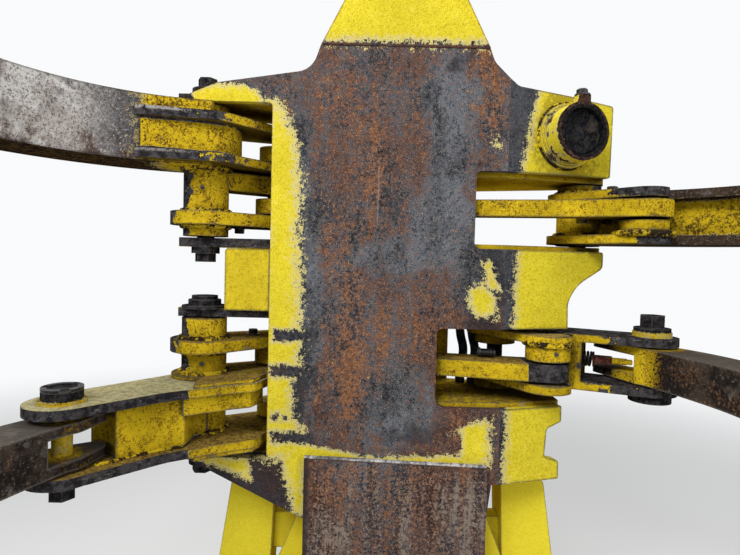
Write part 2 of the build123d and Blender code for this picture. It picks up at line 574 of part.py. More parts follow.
# lower right arm: two plates with a cross web, a boss for the link and an open window for the tip's fork
ARM_UP = level(LINK_L[1] + 60, 25)
ARM_LOW = level(LINK_L[0] - 36, LUG_T)
long_arm = strap((HINGE_RL[0], HINGE_RL[1], 90), (TIP_R[0], TIP_R[1], 74))
crank_arm = strap((HINGE_RL[0], HINGE_RL[1], 96), (CL_R[0], CL_R[1], 72))
hub = slab(crank_arm + long_arm, ARM_UP[0], ARM_UP[1]) + slab(crank_arm + long_arm, ARM_LOW[0], ARM_LOW[1])
hub += post(HINGE_RL, HUB_R, LINK_L[1] + 27, RIB_BR[0] - HUB_GAP)
hub += post(HINGE_RL, HUB_R, RIB_C[1] + HUB_GAP, ARM_LOW[1] + 4)
hub += post(CL_R, 66, LINK_L[1] + 8, ARM_UP[0])
web = slab(long_arm, ARM_LOW[1], ARM_UP[0]) & (post(TIP_R, 242, ARM_LOW[1], ARM_UP[0])
                                             - post(TIP_R, 208, ARM_LOW[1] - 1, ARM_UP[0] + 1))
hub += web
parts["arm_lr_hub"] = bore(TIP_R, TIP_PIN_R, bore(HINGE_RL, PIN_R + 0.5, hub))


# hinged arm tips: a curved blade whose root is a fork round the pin
def tip(center, heading, side, z0, z1, ear_reach, solid_from):
    bend = 700.0
    curve = polar(center, bend, heading + 90 * side)
    rows = []
    for distance, half_in, half_out in ((20, 58, 58), (200, 72, 60), (380, 60, 52), (520, 46, 42), (620, 24, 20)):
        rows.append((heading - 90 * side + side * degrees(distance / bend), bend - half_in, bend + half_out))
    back = polar(center, ear_reach - 34, heading + 180)
    ears = strap((center[0], center[1], 64), (back[0], back[1], 34))
    blade = arc_beam(curve, rows, z0, z1) + post(center, 64, z0, z1) + slab(ears, z0, z1)
    slot_end = polar(center, solid_from, heading)
    slot_back = polar(center, ear_reach + 40, heading + 180)
    left, right = heading + 90, heading - 90
    slot = make_face(Polyline(polar(slot_end, 120, left), polar(slot_back, 120, left),
                              polar(slot_back, 120, right), polar(slot_end, 120, right), close=True))
    blade -= slab(slot, z0 + 26, z1 - 26)
    return bore(center, TIP_PIN_R + 0.5, blade)


parts["tip_left"] = tip(TIP_L, 238, 1, PLATE_LOW[1] + 8, PLATE_UP[0] - 17, 110, 70)
parts["tip_right"] = tip(TIP_R, -62, -1, ARM_LOW[1] + 6, ARM_UP[0] - 6, 200, -12)
parts["tip_pin_left"] = (post(TIP_L, TIP_PIN_R, PLATE_LOW[0] - 20, PLATE_UP[1])
                         + post(TIP_L, 56, PLATE_UP[1], PLATE_UP[1] + 6)
                         + post(TIP_L, 48, PLATE_UP[1] + 6, PLATE_UP[1] + 32) - post(TIP_L, 34, PLATE_UP[1] + 22, NECK_Z)
                         + post(TIP_L, 52, PLATE_LOW[0] - 16, PLATE_LOW[0])
                         + hexagon(TIP_L, 33, PLATE_LOW[0] - 50, PLATE_LOW[0] - 16))
parts["tip_pin_right"] = (post(TIP_R, TIP_PIN_R, ARM_LOW[0], ARM_UP[1]) + post(TIP_R, 55, ARM_UP[1], ARM_UP[1] + 15)
                          + post(TIP_R, 52, ARM_UP[1] + 15, ARM_UP[1] + 27)
                          + hexagon(TIP_R, 38, ARM_UP[1] + 27, ARM_UP[1] + 65)
                          + post(TIP_R, 60, ARM_LOW[0] - 24, ARM_LOW[0]))


# sync links: bars that widen without a step into their round eyes
def link(one, two, at, left_r, waist_from, waist_to, waist_r, right_r):
    first = share_point(one, two, waist_from) + (waist_r,)
    last = share_point(one, two, waist_to) + (waist_r,)
    shape = strap((one[0], one[1], left_r), first) + strap(first, last) + strap(last, (two[0], two[1], right_r))
    return bore(one, 25, slab(shape, at[0], at[1]))


parts["link_upper"] = link(CU_L, CU_R, LINK_U, *UPPER_LINK)
parts["link_lower"] = link(CL_L, CL_R, LINK_L, *LOWER_LINK)


# clamp cylinders, each as barrel and rod
def cylinder(pin_at, z, tag):
    dx = pin_at[0] - ANCHOR[0]
    dy = pin_at[1] - ANCHOR[1]
    length = hypot(dx, dy)
    place = Pos(ANCHOR[0], ANCHOR[1], z) * Rot(0, 0, degrees(atan2(dy, dx)))
    along = place * Rot(0, 90, 0)
    barrel = place * Cylinder(BARREL_R, 50) + along * Pos(0, 0, 280) * Cylinder(BARREL_R, 480)
    barrel += along * Pos(0, 0, 520) * Cylinder(BARREL_R + 3, 40)
    barrel -= place * Cylinder(22.5, 200)
    barrel -= along * Pos(0, 0, 320) * Cylinder(ROD_R + 0.5, 460)
    rod = along * Pos(0, 0, (length + 60) / 2) * Cylinder(ROD_R, length - 180)
    rod += place * Pos(length, 0, 0) * Cylinder(EYE_R, EYE_T)
    rod += place * Pos(length - 62, 0, 0) * Box(60, 2 * ROD_R, EYE_T - 2)
    parts["barrel_" + tag] = barrel
    parts["rod_" + tag] = rod


cylinder(CU_L, CYL_U_Z, "upper")
cylinder(CL_L, CYL_L_Z, "lower")

for name in parts:
    export_step(parts[name], "parts/" + name + ".step")
print(len(parts), "nodes")
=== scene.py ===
import json
import math
from functools import cache

import bpy
from mathutils import Euler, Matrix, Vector


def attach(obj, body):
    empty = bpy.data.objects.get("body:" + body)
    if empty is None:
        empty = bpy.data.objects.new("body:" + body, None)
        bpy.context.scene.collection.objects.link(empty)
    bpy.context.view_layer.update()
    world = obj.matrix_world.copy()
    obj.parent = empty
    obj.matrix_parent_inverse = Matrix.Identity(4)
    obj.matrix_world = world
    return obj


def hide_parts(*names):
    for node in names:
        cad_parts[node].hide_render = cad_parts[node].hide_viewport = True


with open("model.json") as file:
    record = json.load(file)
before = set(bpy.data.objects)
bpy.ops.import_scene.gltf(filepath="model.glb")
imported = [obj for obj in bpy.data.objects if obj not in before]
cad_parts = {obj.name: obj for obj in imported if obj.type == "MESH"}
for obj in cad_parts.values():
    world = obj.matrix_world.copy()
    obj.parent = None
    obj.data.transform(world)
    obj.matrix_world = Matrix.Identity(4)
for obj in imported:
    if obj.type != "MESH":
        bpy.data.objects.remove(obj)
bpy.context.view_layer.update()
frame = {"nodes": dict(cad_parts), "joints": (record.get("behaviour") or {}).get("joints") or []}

bl_info = {
    "name": "Disc Saw Felling Head Looks",
    "version": (1, 0, 0),
    "blender": (4, 5, 0),
    "location": "3D View > Sidebar > Felling Head",
    "description": "Dresses the felling head with welds, fittings and worn paint",
    "category": "Object",
}

PIVOTS = {joint["name"]: tuple(joint["pos_m"]) for joint in frame["joints"] if "pos_m" in joint}
LEFT_HINGE = PIVOTS["upper_left_swing"][:2]
UPPER_RIGHT_HINGE = PIVOTS["upper_right_swing"][:2]
LOWER_RIGHT_HINGE = PIVOTS["lower_right_swing"][:2]
LEFT_TIP = PIVOTS["tip_left_swing"][:2]
RIGHT_TIP = PIVOTS["tip_right_swing"][:2]
BUMPER = (0.4972, -0.0500, 1.985)
ROD_EYES = (-0.411, 0.109)

# Heights of the middles of the upper left arm's lugs and of the two left crank plates
TOP_LUG, LOW_LUG = 1.998, 1.881
UPPER_CRANK, LOWER_CRANK = 1.710, 1.3265

FOLD = math.radians(15)
SHOULDER_OUT = Vector((math.sin(FOLD), -math.cos(FOLD), 0))
STOP_TURN = math.radians(26)
DECK_WELD_HEIGHT = 0.154
RING_RIPPLE = 0.0075
LINE_RIPPLE = 0.004
SMOOTH_BELOW = math.radians(35)
CAMERA_PLACE = (-0.089, -1.700)
CAMERA_DROP = math.radians(1.96)
CAMERA_ROLL = math.radians(1.4)
BACKDROP = (0.95, 0.96, 0.97)

# Patches on the column and the wear plate, seen from the front: x, z, half width, half height, strength
COLUMN_GREY = (
    (-0.30, 1.74, 0.07, 0.30, 0.34), (-0.29, 1.28, 0.05, 0.34, 0.34), (0.03, 1.16, 0.12, 0.13, 0.42),
    (0.14, 2.03, 0.09, 0.20, 0.40), (0.13, 1.74, 0.08, 0.16, 0.34), (-0.02, 1.61, 0.11, 0.06, 0.34),
    (0.23, 1.55, 0.07, 0.12, 0.30),
)
COLUMN_ORANGE = (
    (-0.11, 1.90, 0.05, 0.22, 0.34), (-0.20, 2.10, 0.06, 0.06, 0.30), (0.245, 2.10, 0.06, 0.13, 0.42),
    (0.13, 1.69, 0.06, 0.06, 0.26), (-0.17, 1.60, 0.09, 0.16, 0.26), (-0.12, 1.33, 0.16, 0.22, 0.34),
    (-0.125, 1.12, 0.035, 0.14, 0.30), (-0.03, 1.048, 0.06, 0.012, 0.40), (0.10, 1.42, 0.08, 0.12, 0.18),
)
# The dark patches on the column are painted shade
COLUMN_SHADE = (
    (-0.47, 0.92, 0.26, 0.16, 1), (0.27, 1.45, 0.07, 0.26, 0.9), (-0.29, 1.2, 0.035, 0.24, 0.8),
    (0.15, 2.165, 0.030, 0.022, 0.7), (0.05, 1.075, 0.12, 0.03, 0.6), (-0.30, 1.95, 0.06, 0.16, 0.4),
)
WEAR_ORANGE = ((-0.14, 0.93, 0.09, 0.07, 0.30), (0.02, 0.86, 0.06, 0.16, 0.22))
WEAR_PALE = ((-0.21, 0.78, 0.07, 0.12, 0.18), (0.20, 0.84, 0.10, 0.12, 0.18), (0, 0.99, 0.4, 0.05, -0.10))

# Slots through the yellow strip and patches of paint low on the column: left, right, bottom, top
STRIP_SLOTS = (
    (-0.374, 0.3, 1.349, 1.383), (-0.380, 0.3, 1.243, 1.276), (-0.378, 0.3, 1.042, 1.078),
    (-0.372, -0.356, 1.112, 1.130), (-0.337, -0.327, 1.112, 1.122),
)
LOW_PAINT = ((0.186, 0.287, 0.985, 1.128), (0.150, 0.22, 1.056, 1.076), (0.06, 0.22, 0.975, 1.016))


# Shader maths


class Wave:
    """A shader socket that can be used in sums."""

    def __init__(self, build, socket):
        self.build = build
        self.socket = socket

    def _math(self, kind, *others):
        """A Math node of this kind on the value and others."""
        return self.build.make("ShaderNodeMath", {"operation": kind}, dict(enumerate((self, *others))))

    def __add__(self, other):
        return self._math("ADD", other)

    __radd__ = __add__

    def __sub__(self, other):
        return self._math("SUBTRACT", other)

    def __rsub__(self, other):
        return self.build.make("ShaderNodeMath", {"operation": "SUBTRACT"}, {0: other, 1: self})

    def __mul__(self, other):
        return self._math("MULTIPLY", other)

    __rmul__ = __mul__

    def __truediv__(self, other):
        return self._math("DIVIDE", other)

    def least(self, other):
        """The lower of the two."""
        return self._math("MINIMUM", other)

    def most(self, other):
        """The higher of the two."""
        return self._math("MAXIMUM", other)

    def size(self):
        """The value without its sign."""
        return self._math("ABSOLUTE")

    def root(self):
        """The square root."""
        return self._math("SQRT")

    def step(self, low, high):
        """0 below low, 1 above high, smooth between."""
        return self.build.make("ShaderNodeMapRange", {"interpolation_type": "SMOOTHSTEP"},
                               {"Value": self, "From Min": low, "From Max": high})


class Nodes:
    """A node tree, emptied and built anew."""

    def __init__(self, tree):
        self.tree = tree
        self.tree.nodes.clear()

    def make(self, kind, settings, sockets, output=0):
        """Adds a node, first its settings and then its sockets, and gives one output or the node itself."""
        node = self.tree.nodes.new(kind)
        for key, value in settings.items():
            setattr(node, key, value)
        for key, value in sockets.items():
            self.feed(node.inputs[key], value)
        return node if output is None else Wave(self, node.outputs[output])

    def feed(self, socket, value):
        """Links a socket to a value that varies, or sets it to one that doesn't."""
        if isinstance(value, Wave):
            self.tree.links.new(value.socket, socket)
        elif isinstance(value, tuple) and len(value) == 3 and socket.type == "RGBA":
            socket.default_value = (*value, 1)
        else:
            socket.default_value = value

    def seen(self):
        """1 for what the camera or a reflection sees."""
        ray = self.make("ShaderNodeLightPath", {}, {}, None)
        return Wave(self, ray.outputs["Is Camera Ray"]).most(Wave(self, ray.outputs["Is Glossy Ray"]))


class Finish(Nodes):
    """One material, with its place, facing and noises ready for use."""

    def __init__(self, name):
        self.mat = bpy.data.materials.new(name)
        self.mat.use_nodes = True
        super().__init__(self.mat.node_tree)
        self.shader = self.make("ShaderNodeBsdfPrincipled", {}, {}, None)
        self.make("ShaderNodeOutputMaterial", {}, {"Surface": Wave(self, self.shader.outputs[0])}, None)
        self.place = self.make("ShaderNodeTexCoord", {}, {}, "Object")
        self.x, self.y, self.z = self.parts(self.place)
        self.facing = self.make("ShaderNodeNewGeometry", {}, {}, "Normal")
        self.up = self.parts(self.facing)[2]
        self.drift = self.noise(6, 3, 0.6, (2, 8, 6)) - 0.5
        self.coarse = self.noise(15, 4, 0.6, (4, 4, 4)) - 0.5
        self.middle = self.noise(48, 4, 0.65, (9, 1, 5)) - 0.5
        self.fine = self.noise(125, 4, 0.72, (2, 6, 3)) - 0.5
        self.grain = self.noise(270, 3, 0.70, (5, 3, 8)) - 0.5

    def parts(self, vector):
        """The three parts of a vector."""
        node = self.make("ShaderNodeSeparateXYZ", {}, {0: vector}, None)
        return [Wave(self, node.outputs[i]) for i in range(3)]

    def noise(self, scale, detail, rough, shift, stretch=(1, 1, 1)):
        """Noise from 0 to 1 over the piece's place, moved by shift and stretched."""
        moved = {"Vector": self.place, "Location": shift, "Scale": stretch}
        where = self.make("ShaderNodeMapping", {}, moved)
        return self.make("ShaderNodeTexNoise", {"noise_dimensions": "3D"},
                         {"Vector": where, "Scale": scale, "Detail": detail, "Roughness": rough}, "Fac")

    def mix(self, mask, low, high):
        """The colour low where the mask is 0 and high where it is 1."""
        return self.make("ShaderNodeMix", {"data_type": "RGBA"}, {0: mask, 6: low, 7: high}, 2)

    def topside(self):
        """1 on faces that look up."""
        return self.up.step(0.6, 0.9)

    def underside(self):
        """1 on faces that look down."""
        return self.up.step(-0.6, -0.9)

    def edge(self, radius):
        """High where the surface turns sharply within the radius."""
        soft = self.make("ShaderNodeBevel", {"samples": 4}, {"Radius": radius}, "Normal")
        pair = {0: soft, 1: self.facing}
        return 1 - self.make("ShaderNodeVectorMath", {"operation": "DOT_PRODUCT"}, pair, "Value")

    def hollow_shade_and_dirt(self, reach):
        """High in corners and gaps, from ambient occlusion: painted shade, which also stands for the dirt
        that gathers there.
        """
        return 1 - self.make("ShaderNodeAmbientOcclusion", {"samples": 5}, {"Distance": reach}, "AO")

    def box(self, x0, x1, z0, z1):
        """Depth inside an upright box seen from the front, negative outside."""
        return (self.x - x0).least(x1 - self.x).least(self.z - z0).least(z1 - self.z)

    def boxes(self, spans):
        """Depth inside the deepest of several upright boxes."""
        return self.strongest([self.box(*span) for span in spans])

    def strongest(self, values):
        """The highest of several values."""
        highest = values[0]
        for value in values[1:]:
            highest = highest.most(value)
        return highest

    def torn(self, depth, sharp=0.038):
        """Turns a depth into a ragged value: above 0 the paint is left."""
        ragged = self.coarse * 1.3 + self.middle * 1.8 + self.fine * 3.0 + self.grain * 2.2
        return (depth / sharp).least(2.9).most(-1.5) + ragged

    def blob(self, x, z, wide, high):
        """1 in the middle of an oval seen from the front, 0 at its rim and outside."""
        east, rise = (self.x - x) / wide, (self.z - z) / high
        return (1 - east * east - rise * rise).most(0)

    def smudge(self, x, z, wide, high, strength):
        """A soft oval patch with a wandering rim."""
        east = (self.x + self.drift * 0.16 + self.coarse * 0.05 - x) / wide
        rise = (self.z + self.coarse * 0.10 + self.drift * 0.10 - z) / high
        return (1.6 - east * east - rise * rise).step(0, 1.8) * strength

    def smudges(self, patches):
        """The sum of several smudges."""
        first, *others = [self.smudge(*patch) for patch in patches]
        return sum(others, first)

    def around(self, centre):
        """Distance in plan from an upright axis."""
        east, north = self.x - centre[0], self.y - centre[1]
        return (east * east + north * north).root()

    def finish(self, colour, rough, metal=0.0, bump=None, strength=0.3, distance=0.002, gloss=0.05):
        """Feeds the shader and gives the finished material."""
        self.feed(self.shader.inputs["Specular IOR Level"], gloss)
        self.feed(self.shader.inputs["Base Color"], colour)
        self.feed(self.shader.inputs["Roughness"], rough)
        self.feed(self.shader.inputs["Metallic"], metal)
        if bump is not None:
            relief = {"Strength": strength, "Distance": distance, "Height": bump}
            self.feed(self.shader.inputs["Normal"], self.make("ShaderNodeBump", {}, relief))
        return self.mat


# Coats of paint, rust and dirt, with painted shade and sheen


def tint(name, shade=1.0):
    """A colour of the settings, lighter or darker by shade."""
    return tuple(part * shade for part in getattr(bpy.context.scene.felling_head, name))


def plate_steel(f, orange=1.0, greyer=0.0, hotter=0.0):
    """Heavy plate rubbed bare: blue-grey steel, reddish rust and orange streaks.

    Gives its colour, roughness and height.
    """
    wide = f.noise(3.0, 4, 0.6, (3, 1, 4), (1, 1, 0.6))
    cloud = f.noise(9, 5, 0.65, (8, 2, 5), (1, 1, 0.6))
    streak = f.noise(13, 5, 0.7, (1, 7, 3), (2.2, 2.2, 0.16))
    patch = f.noise(26, 4, 0.65, (6, 6, 1), (1, 1, 0.7))
    base = f.mix(cloud.step(0.36, 0.64), tint("bare_steel", 0.45), tint("bare_steel", 1.2))
    rust = wide + cloud * 0.7 + streak * 0.6 + f.middle * 0.9 + f.fine * 1.3 + f.grain * 0.8 - greyer
    base = f.mix(rust.step(0.88, 1.26), base, tint("rust"))
    hot = wide * 0.3 + streak * 1.1 + patch * 0.8 + f.fine * 1.6 + f.grain * 1.4 + f.middle * 0.9
    hot = hot + hotter - greyer * 0.7
    base = f.mix(hot.step(1.18, 1.74) * orange * 0.72, base, tint("fresh_rust"))
    blackening = patch + cloud * 0.5 + streak * 0.5 + f.fine * 0.8
    base = f.mix(blackening.step(0.94, 0.74) * 0.55, base, (0.018, 0.015, 0.017))
    dust = f.grain * 1.2 + f.fine * 0.7
    base = f.mix(dust.step(0.03, 0.24) * 0.55, base, (0.44, 0.33, 0.25))
    pits = f.grain + f.fine * 0.9 + f.middle * 0.3
    base = f.mix(pits.step(-0.01, -0.20) * 0.85, base, (0.011, 0.009, 0.010))
    return base, f.middle * 0.6 + 0.66, f.fine + f.grain * 0.5 + f.middle * 0.5


def black_steel(f):
    """Dark oily edge steel with scraped bright lines, which are painted sheen as well."""
    scrape_and_sheen = f.noise(30, 5, 0.7, (0, 4, 0), (1, 1, 3))
    base = f.mix(f.middle.step(-0.1, 0.1), (0.020, 0.019, 0.022), (0.066, 0.062, 0.064))
    # Bright lines: scrapes, and painted sheen as well
    base = f.mix((scrape_and_sheen + f.grain * 0.3).step(0.57, 0.70) * 0.6, base, (0.30, 0.28, 0.27))
    base = f.mix((f.fine + f.grain * 0.6).step(0.09, 0.2) * 0.4, base, (0.24, 0.15, 0.09))
    return f.mix(f.grain.step(-0.05, -0.16) * 0.6, base, (0.008, 0.007, 0.008))


def plate_yellow(f):
    """The brighter yellow left on the flat plates, finely specked."""
    tone = f.noise(5, 4, 0.6, (7, 7, 7))
    dust = f.noise(430, 2, 0.6, (3, 3, 1)) - 0.5
    base = f.mix(tone.step(0.38, 0.62), tint("plate_yellow", 0.88), tint("plate_yellow"))
    dull = f.grain * 1.2 + f.fine * 0.8 + dust + f.middle * 0.3
    base = f.mix(dull.step(-0.10, 0.26) * 0.72, base, (0.40, 0.285, 0.012))
    base = f.mix((f.grain * 0.8 + f.middle * 0.6).step(-0.08, -0.2) * 0.30, base, (0.92, 0.85, 0.30))
    base = f.mix((f.fine + dust * 0.9 + f.grain * 0.6).step(-0.16, -0.34) * 0.85, base, (0.12, 0.080, 0.016))
    return f.mix((f.fine + f.grain * 0.8).step(-0.26, -0.34) * 0.8, base, (0.06, 0.040, 0.012))


def arm_gold(f, browning):
    """The deeper yellow of the arms, matted with brown dirt."""
    tone = f.noise(7, 4, 0.6, (7, 2, 7))
    base = f.mix(tone.step(0.36, 0.64), tint("arm_yellow", 0.70), tint("arm_yellow"))
    dirt = f.middle * 0.6 + f.fine * 1.3 + f.grain * 1.4 + f.coarse * 0.7
    base = f.mix(dirt.step(-0.08, 0.22) * browning, base, (0.20, 0.098, 0.012))
    base = f.mix(dirt.step(0.12, 0.34) * browning, base, (0.045, 0.025, 0.009))
    return f.mix((f.fine + f.grain).step(-0.18, -0.30) * 0.8, base, (0.030, 0.020, 0.008))


def painted_over(f, value, paint, steel, rough, height, rim=0.0, fringe=0.95):
    """Paint where value is above 0, with a pale thin fringe, over steel."""
    kept = value.step(-0.03, 0.03)
    if rim:
        kept = kept * (1 - (f.edge(rim) * (1 + f.middle * 5 + f.fine * 3)).step(0.03, 0.09))
    worn = f.mix(value.step(fringe * 0.15, fringe), (0.66, 0.57, 0.25), paint) if fringe else paint
    return f.finish(f.mix(kept, steel, worn), rough * (1 - kept) + kept * 0.52, 0.0,
                    kept * 0.55 + height * 0.8, 0.5, 0.0016, 0.0)


def column_steel(f):
    """The column's bare steel, with grey and orange patches, dark patches of painted shade and one long
    scratch.
    """
    steel, rough, height = plate_steel(f, greyer=f.smudges(COLUMN_GREY), hotter=f.smudges(COLUMN_ORANGE))
    # Blue-black where shade falls on the column: painted shade
    painted_shade = f.strongest([f.smudge(*patch) for patch in COLUMN_SHADE])
    steel = f.mix(painted_shade.step(0.05, 0.8) * 0.72, steel, (0.021, 0.021, 0.026))
    line = (f.x + 0.071 + f.coarse * 0.010).size() * -600 + 1.4
    scratch = line.least(f.box(-0.09, -0.05, 1.70, 1.90) * 30) + f.middle * 3
    return f.mix(scratch.step(0.1, 0.6) * 0.35, steel, (0.36, 0.34, 0.32)), rough, height


def strip_depth(f, slots):
    """Depth inside the strip of paint down the column's left edge, with its tail and without its slots."""
    right_side = -0.276 - (f.z - 1.014) * 0.030 - ((f.z - 1.93) * 0.45).most(0)
    strip = f.box(-0.42, right_side, 0.99, 2.056)
    strip = strip - f.blob(-0.300, 1.18, 0.070, 0.110) * 0.034
    lean = (1.013 - f.z) * 0.24 - 0.352
    tail = (f.x - lean).least(-0.268 - f.x).least(f.z - 0.826).least(1.03 - f.z)
    return strip.most(tail * 1.3).least(slots * -2.6 + 0.002)


def wing_depth(f):
    """Depth inside the paint of the left wing, the brow above it and the band along the column's foot."""
    wedge = 1.042 - (f.x + 0.27).most(0) * 0.19
    band = (f.box(-0.31, -0.04, 0.985, wedge) * 3).most(f.box(-0.10, 0.26, 0.984, 1.012 + f.x * 0.04) * 2.4)
    wing = (f.x + 0.628).least(-0.437 - f.x).least(f.z - 0.997 + (f.x + 0.624) * 0.36).least(0.999 - f.z)
    east, high = (f.x + 0.525) / 0.116, (f.z - 2.052) / 0.054
    brow = (1 - east * east - high * high) * 0.05
    return band.most(wing * 1.8).most(brow * 1.6)


def patch_depth(f):
    """Depth inside the patches of paint left on the column's right side, and in the faint ones above."""
    mid = f.box(0.190, 0.289 - (f.z - 1.47).most(0) * 0.35, 1.434, 1.538)
    slant = 0.258 + (1.60 - f.z) * 0.34
    arm = (f.x - slant + 0.020).least(slant + 0.012 - f.x).least(f.z - 1.515).least(1.602 - f.z)
    mid = mid.most(arm * 1.6) - (0.240 - f.x).most(0) * 0.45
    low = f.boxes(LOW_PAINT) - f.blob(0.19, 1.125, 0.05, 0.03) * 0.03
    low = low.least(f.box(-0.10, 0.200, 1.020, 1.085) * -2 + 0.012)
    ghosts = f.blob(0.272, 1.953, 0.032, 0.045) * 0.036 + f.blob(0.20, 2.09, 0.03, 0.05) * 0.020 - 0.036
    return (mid * 1.3).most(low * 1.5).most(ghosts)


def column_plate():
    """The front plate: bare steel with the strip, wing, patches and neck still painted."""
    f = Finish("Column plate")
    steel, rough, height = column_steel(f)
    slots = f.boxes(STRIP_SLOTS)
    # Dark grey in the slots over the strip: painted shade
    blackening = f.mix(f.fine.step(-0.1, 0.1), (0.022, 0.022, 0.026), (0.060, 0.060, 0.066))
    steel = f.mix(slots.least(-0.245 - f.x + f.middle * 0.1).step(-0.008, 0.002) * 0.8, steel, blackening)
    neck = f.z - 2.231
    depth = f.strongest([strip_depth(f, slots), wing_depth(f), patch_depth(f), neck])
    return painted_over(f, f.torn(depth), plate_yellow(f), steel, rough, height, 0.0045)


def wear_plate():
    """The lower plate: rust worn into long upright streaks by sliding stems."""
    f = Finish("Wear plate")
    steel, rough, height = plate_steel(f, orange=0.8, hotter=f.smudges(WEAR_ORANGE))
    drip = f.noise(34, 5, 0.7, (2, 2, 2), (1, 1, 0.06))
    run = f.noise(24, 5, 0.7, (5, 1, 4), (1, 1, 0.06))
    hot = (run + f.fine * 0.6 + f.middle * 0.3).step(0.52, 0.68)
    steel = f.mix(hot * 0.55, steel, tint("fresh_rust", 0.9))
    pale = (drip + f.middle * 0.6 + f.fine * 0.6 + f.smudges(WEAR_PALE)).step(0.54, 0.70)
    steel = f.mix(pale * 0.65, steel, (0.265, 0.235, 0.195))
    dark = (run + f.fine * 0.6 + f.grain * 0.3).step(0.48, 0.34)
    steel = f.mix(dark * 0.75, steel, (0.022, 0.016, 0.016))
    steel = f.mix((f.x + 0.245).step(0, -0.02) * 0.8, steel, (0.020, 0.018, 0.019))
    return f.finish(steel, rough, 0.0, height, 0.5, 0.0016)


def folded_plates():
    """The right side plates: paint above bare steel with a ragged slanting border."""
    f = Finish("Folded plates")
    steel, rough, height = plate_steel(f, 0.5, 0.4, 0.2)
    steel = f.mix(0.55, steel, (0.018, 0.019, 0.025))
    shoulder = (f.x - 0.352 - (f.z - 1.89) * 0.21).least(f.z - 1.80)
    shoulder = shoulder - f.blob(0.428, 1.962, 0.009, 0.013) * 0.5
    upper = (f.x - 0.334 - (f.z - 1.41) * 0.05).least(1.72 - f.z).least(f.z - 1.2)
    lower = (f.x - 0.322 - (f.z - 0.95) * 0.02).least(1.20 - f.z).least(0.530 - f.x)
    depth = shoulder.most(upper).most(lower)
    # Darker and browner round the bumper's foot
    browning = (f.around((0.497, -0.054)) + (f.z - BUMPER[2]).size() * 0.4 + f.middle * 0.3).step(0.15, 0.09)
    paint = f.mix(browning * 0.55, plate_yellow(f), (0.16, 0.11, 0.014))
    return painted_over(f, f.torn(depth * 1.6), paint, steel, rough, height, 0.012)


def horn_paint():
    """Paint of the horn down to the weld across the neck."""
    f = Finish("Horn paint")
    steel, rough, height = plate_steel(f)
    return painted_over(f, f.torn((f.z - 2.234) * 1.6), plate_yellow(f), steel, rough, height, 0.010)


def clean_paint():
    """Paint of the legs: bright, with thin worn edges."""
    f = Finish("Leg paint")
    steel, rough, height = plate_steel(f, 0.3, 0.2)
    value = 2.0 + f.middle * 1.2 + f.fine * 0.8
    paint = f.mix(0.6, plate_yellow(f), tint("plate_yellow"))
    return painted_over(f, value, paint, steel, rough, height, 0.006)


def lobe_paint():
    """Paint of the left lobe: matte and a little dirtier than the front plate's, with painted shade in its
    hollows.
    """
    f = Finish("Lobe paint")
    paint = f.mix(0.5, plate_yellow(f), arm_gold(f, 0.5))
    # Darker in the hollows: painted shade, also standing for dirt
    paint = f.mix(f.hollow_shade_and_dirt(0.04).step(0.3, 0.9) * 0.7, paint, (0.05, 0.03, 0.01))
    value = 1.2 + f.middle * 1.6 + f.fine * 1.2
    return painted_over(f, value, paint, black_steel(f), 0.62, f.fine + f.middle, 0.012)


@cache
def rib_paint():
    """Paint of the ribs and the back: dull yellow, dirty on top, edges rubbed dark, with painted shade in the
    hollows.
    """
    f = Finish("Rib paint")
    steel = black_steel(f)
    wear = f.edge(0.010) * 1.5 + f.coarse * 0.9 + f.middle * 0.8 + f.fine * 0.5
    tip = (-0.385 - f.x).least((0.5 - f.up.size()) * 0.1).step(-0.005, 0.01)
    value = 0.36 - wear * 1.3 - tip * 0.9
    paint = arm_gold(f, 0.55)
    # Darker in the hollows: painted shade, also standing for dirt
    paint = f.mix(f.hollow_shade_and_dirt(0.10).step(0.25, 0.8) * 0.75, paint, (0.045, 0.028, 0.010))
    dust = f.topside() * (f.middle + f.fine).step(-0.12, 0.06)
    paint = f.mix(dust * 0.75, paint, (0.15, 0.098, 0.034))
    return painted_over(f, value, paint, steel, f.middle * 0.6 + 0.6, f.fine + f.middle, 0.0, 0.12)


def deck_paint():
    """Paint of the saw housing: rubbed through to rust where wood slides over it."""
    f = Finish("Deck paint")
    steel, rough, height = plate_steel(f, orange=0.9, greyer=-0.1)
    ring = (0.80 - f.around((0, -0.10)) - (f.y + 0.05) * 0.5) * 0.12 - 0.075
    value = 0.46 - f.edge(0.012) * 1.6 - f.coarse * 1.1 - f.middle * 1.0 - f.fine * 1.2 + ring * 3
    value = value + (0.5 - f.up).step(0, 0.3) * 0.35
    paint = f.mix(0.35, arm_gold(f, 0.5), plate_yellow(f))
    # Darker in the hollows: painted shade, also standing for dirt
    paint = f.mix(f.hollow_shade_and_dirt(0.12).step(0.2, 0.8) * 0.7, paint, (0.060, 0.040, 0.016))
    dust = f.topside() * (f.coarse + f.middle + f.fine).step(-0.1, 0.15)
    paint = f.mix(dust * 0.7, paint, (0.17, 0.11, 0.045))
    return painted_over(f, value, paint, steel, rough, height, 0.0, 0.25)


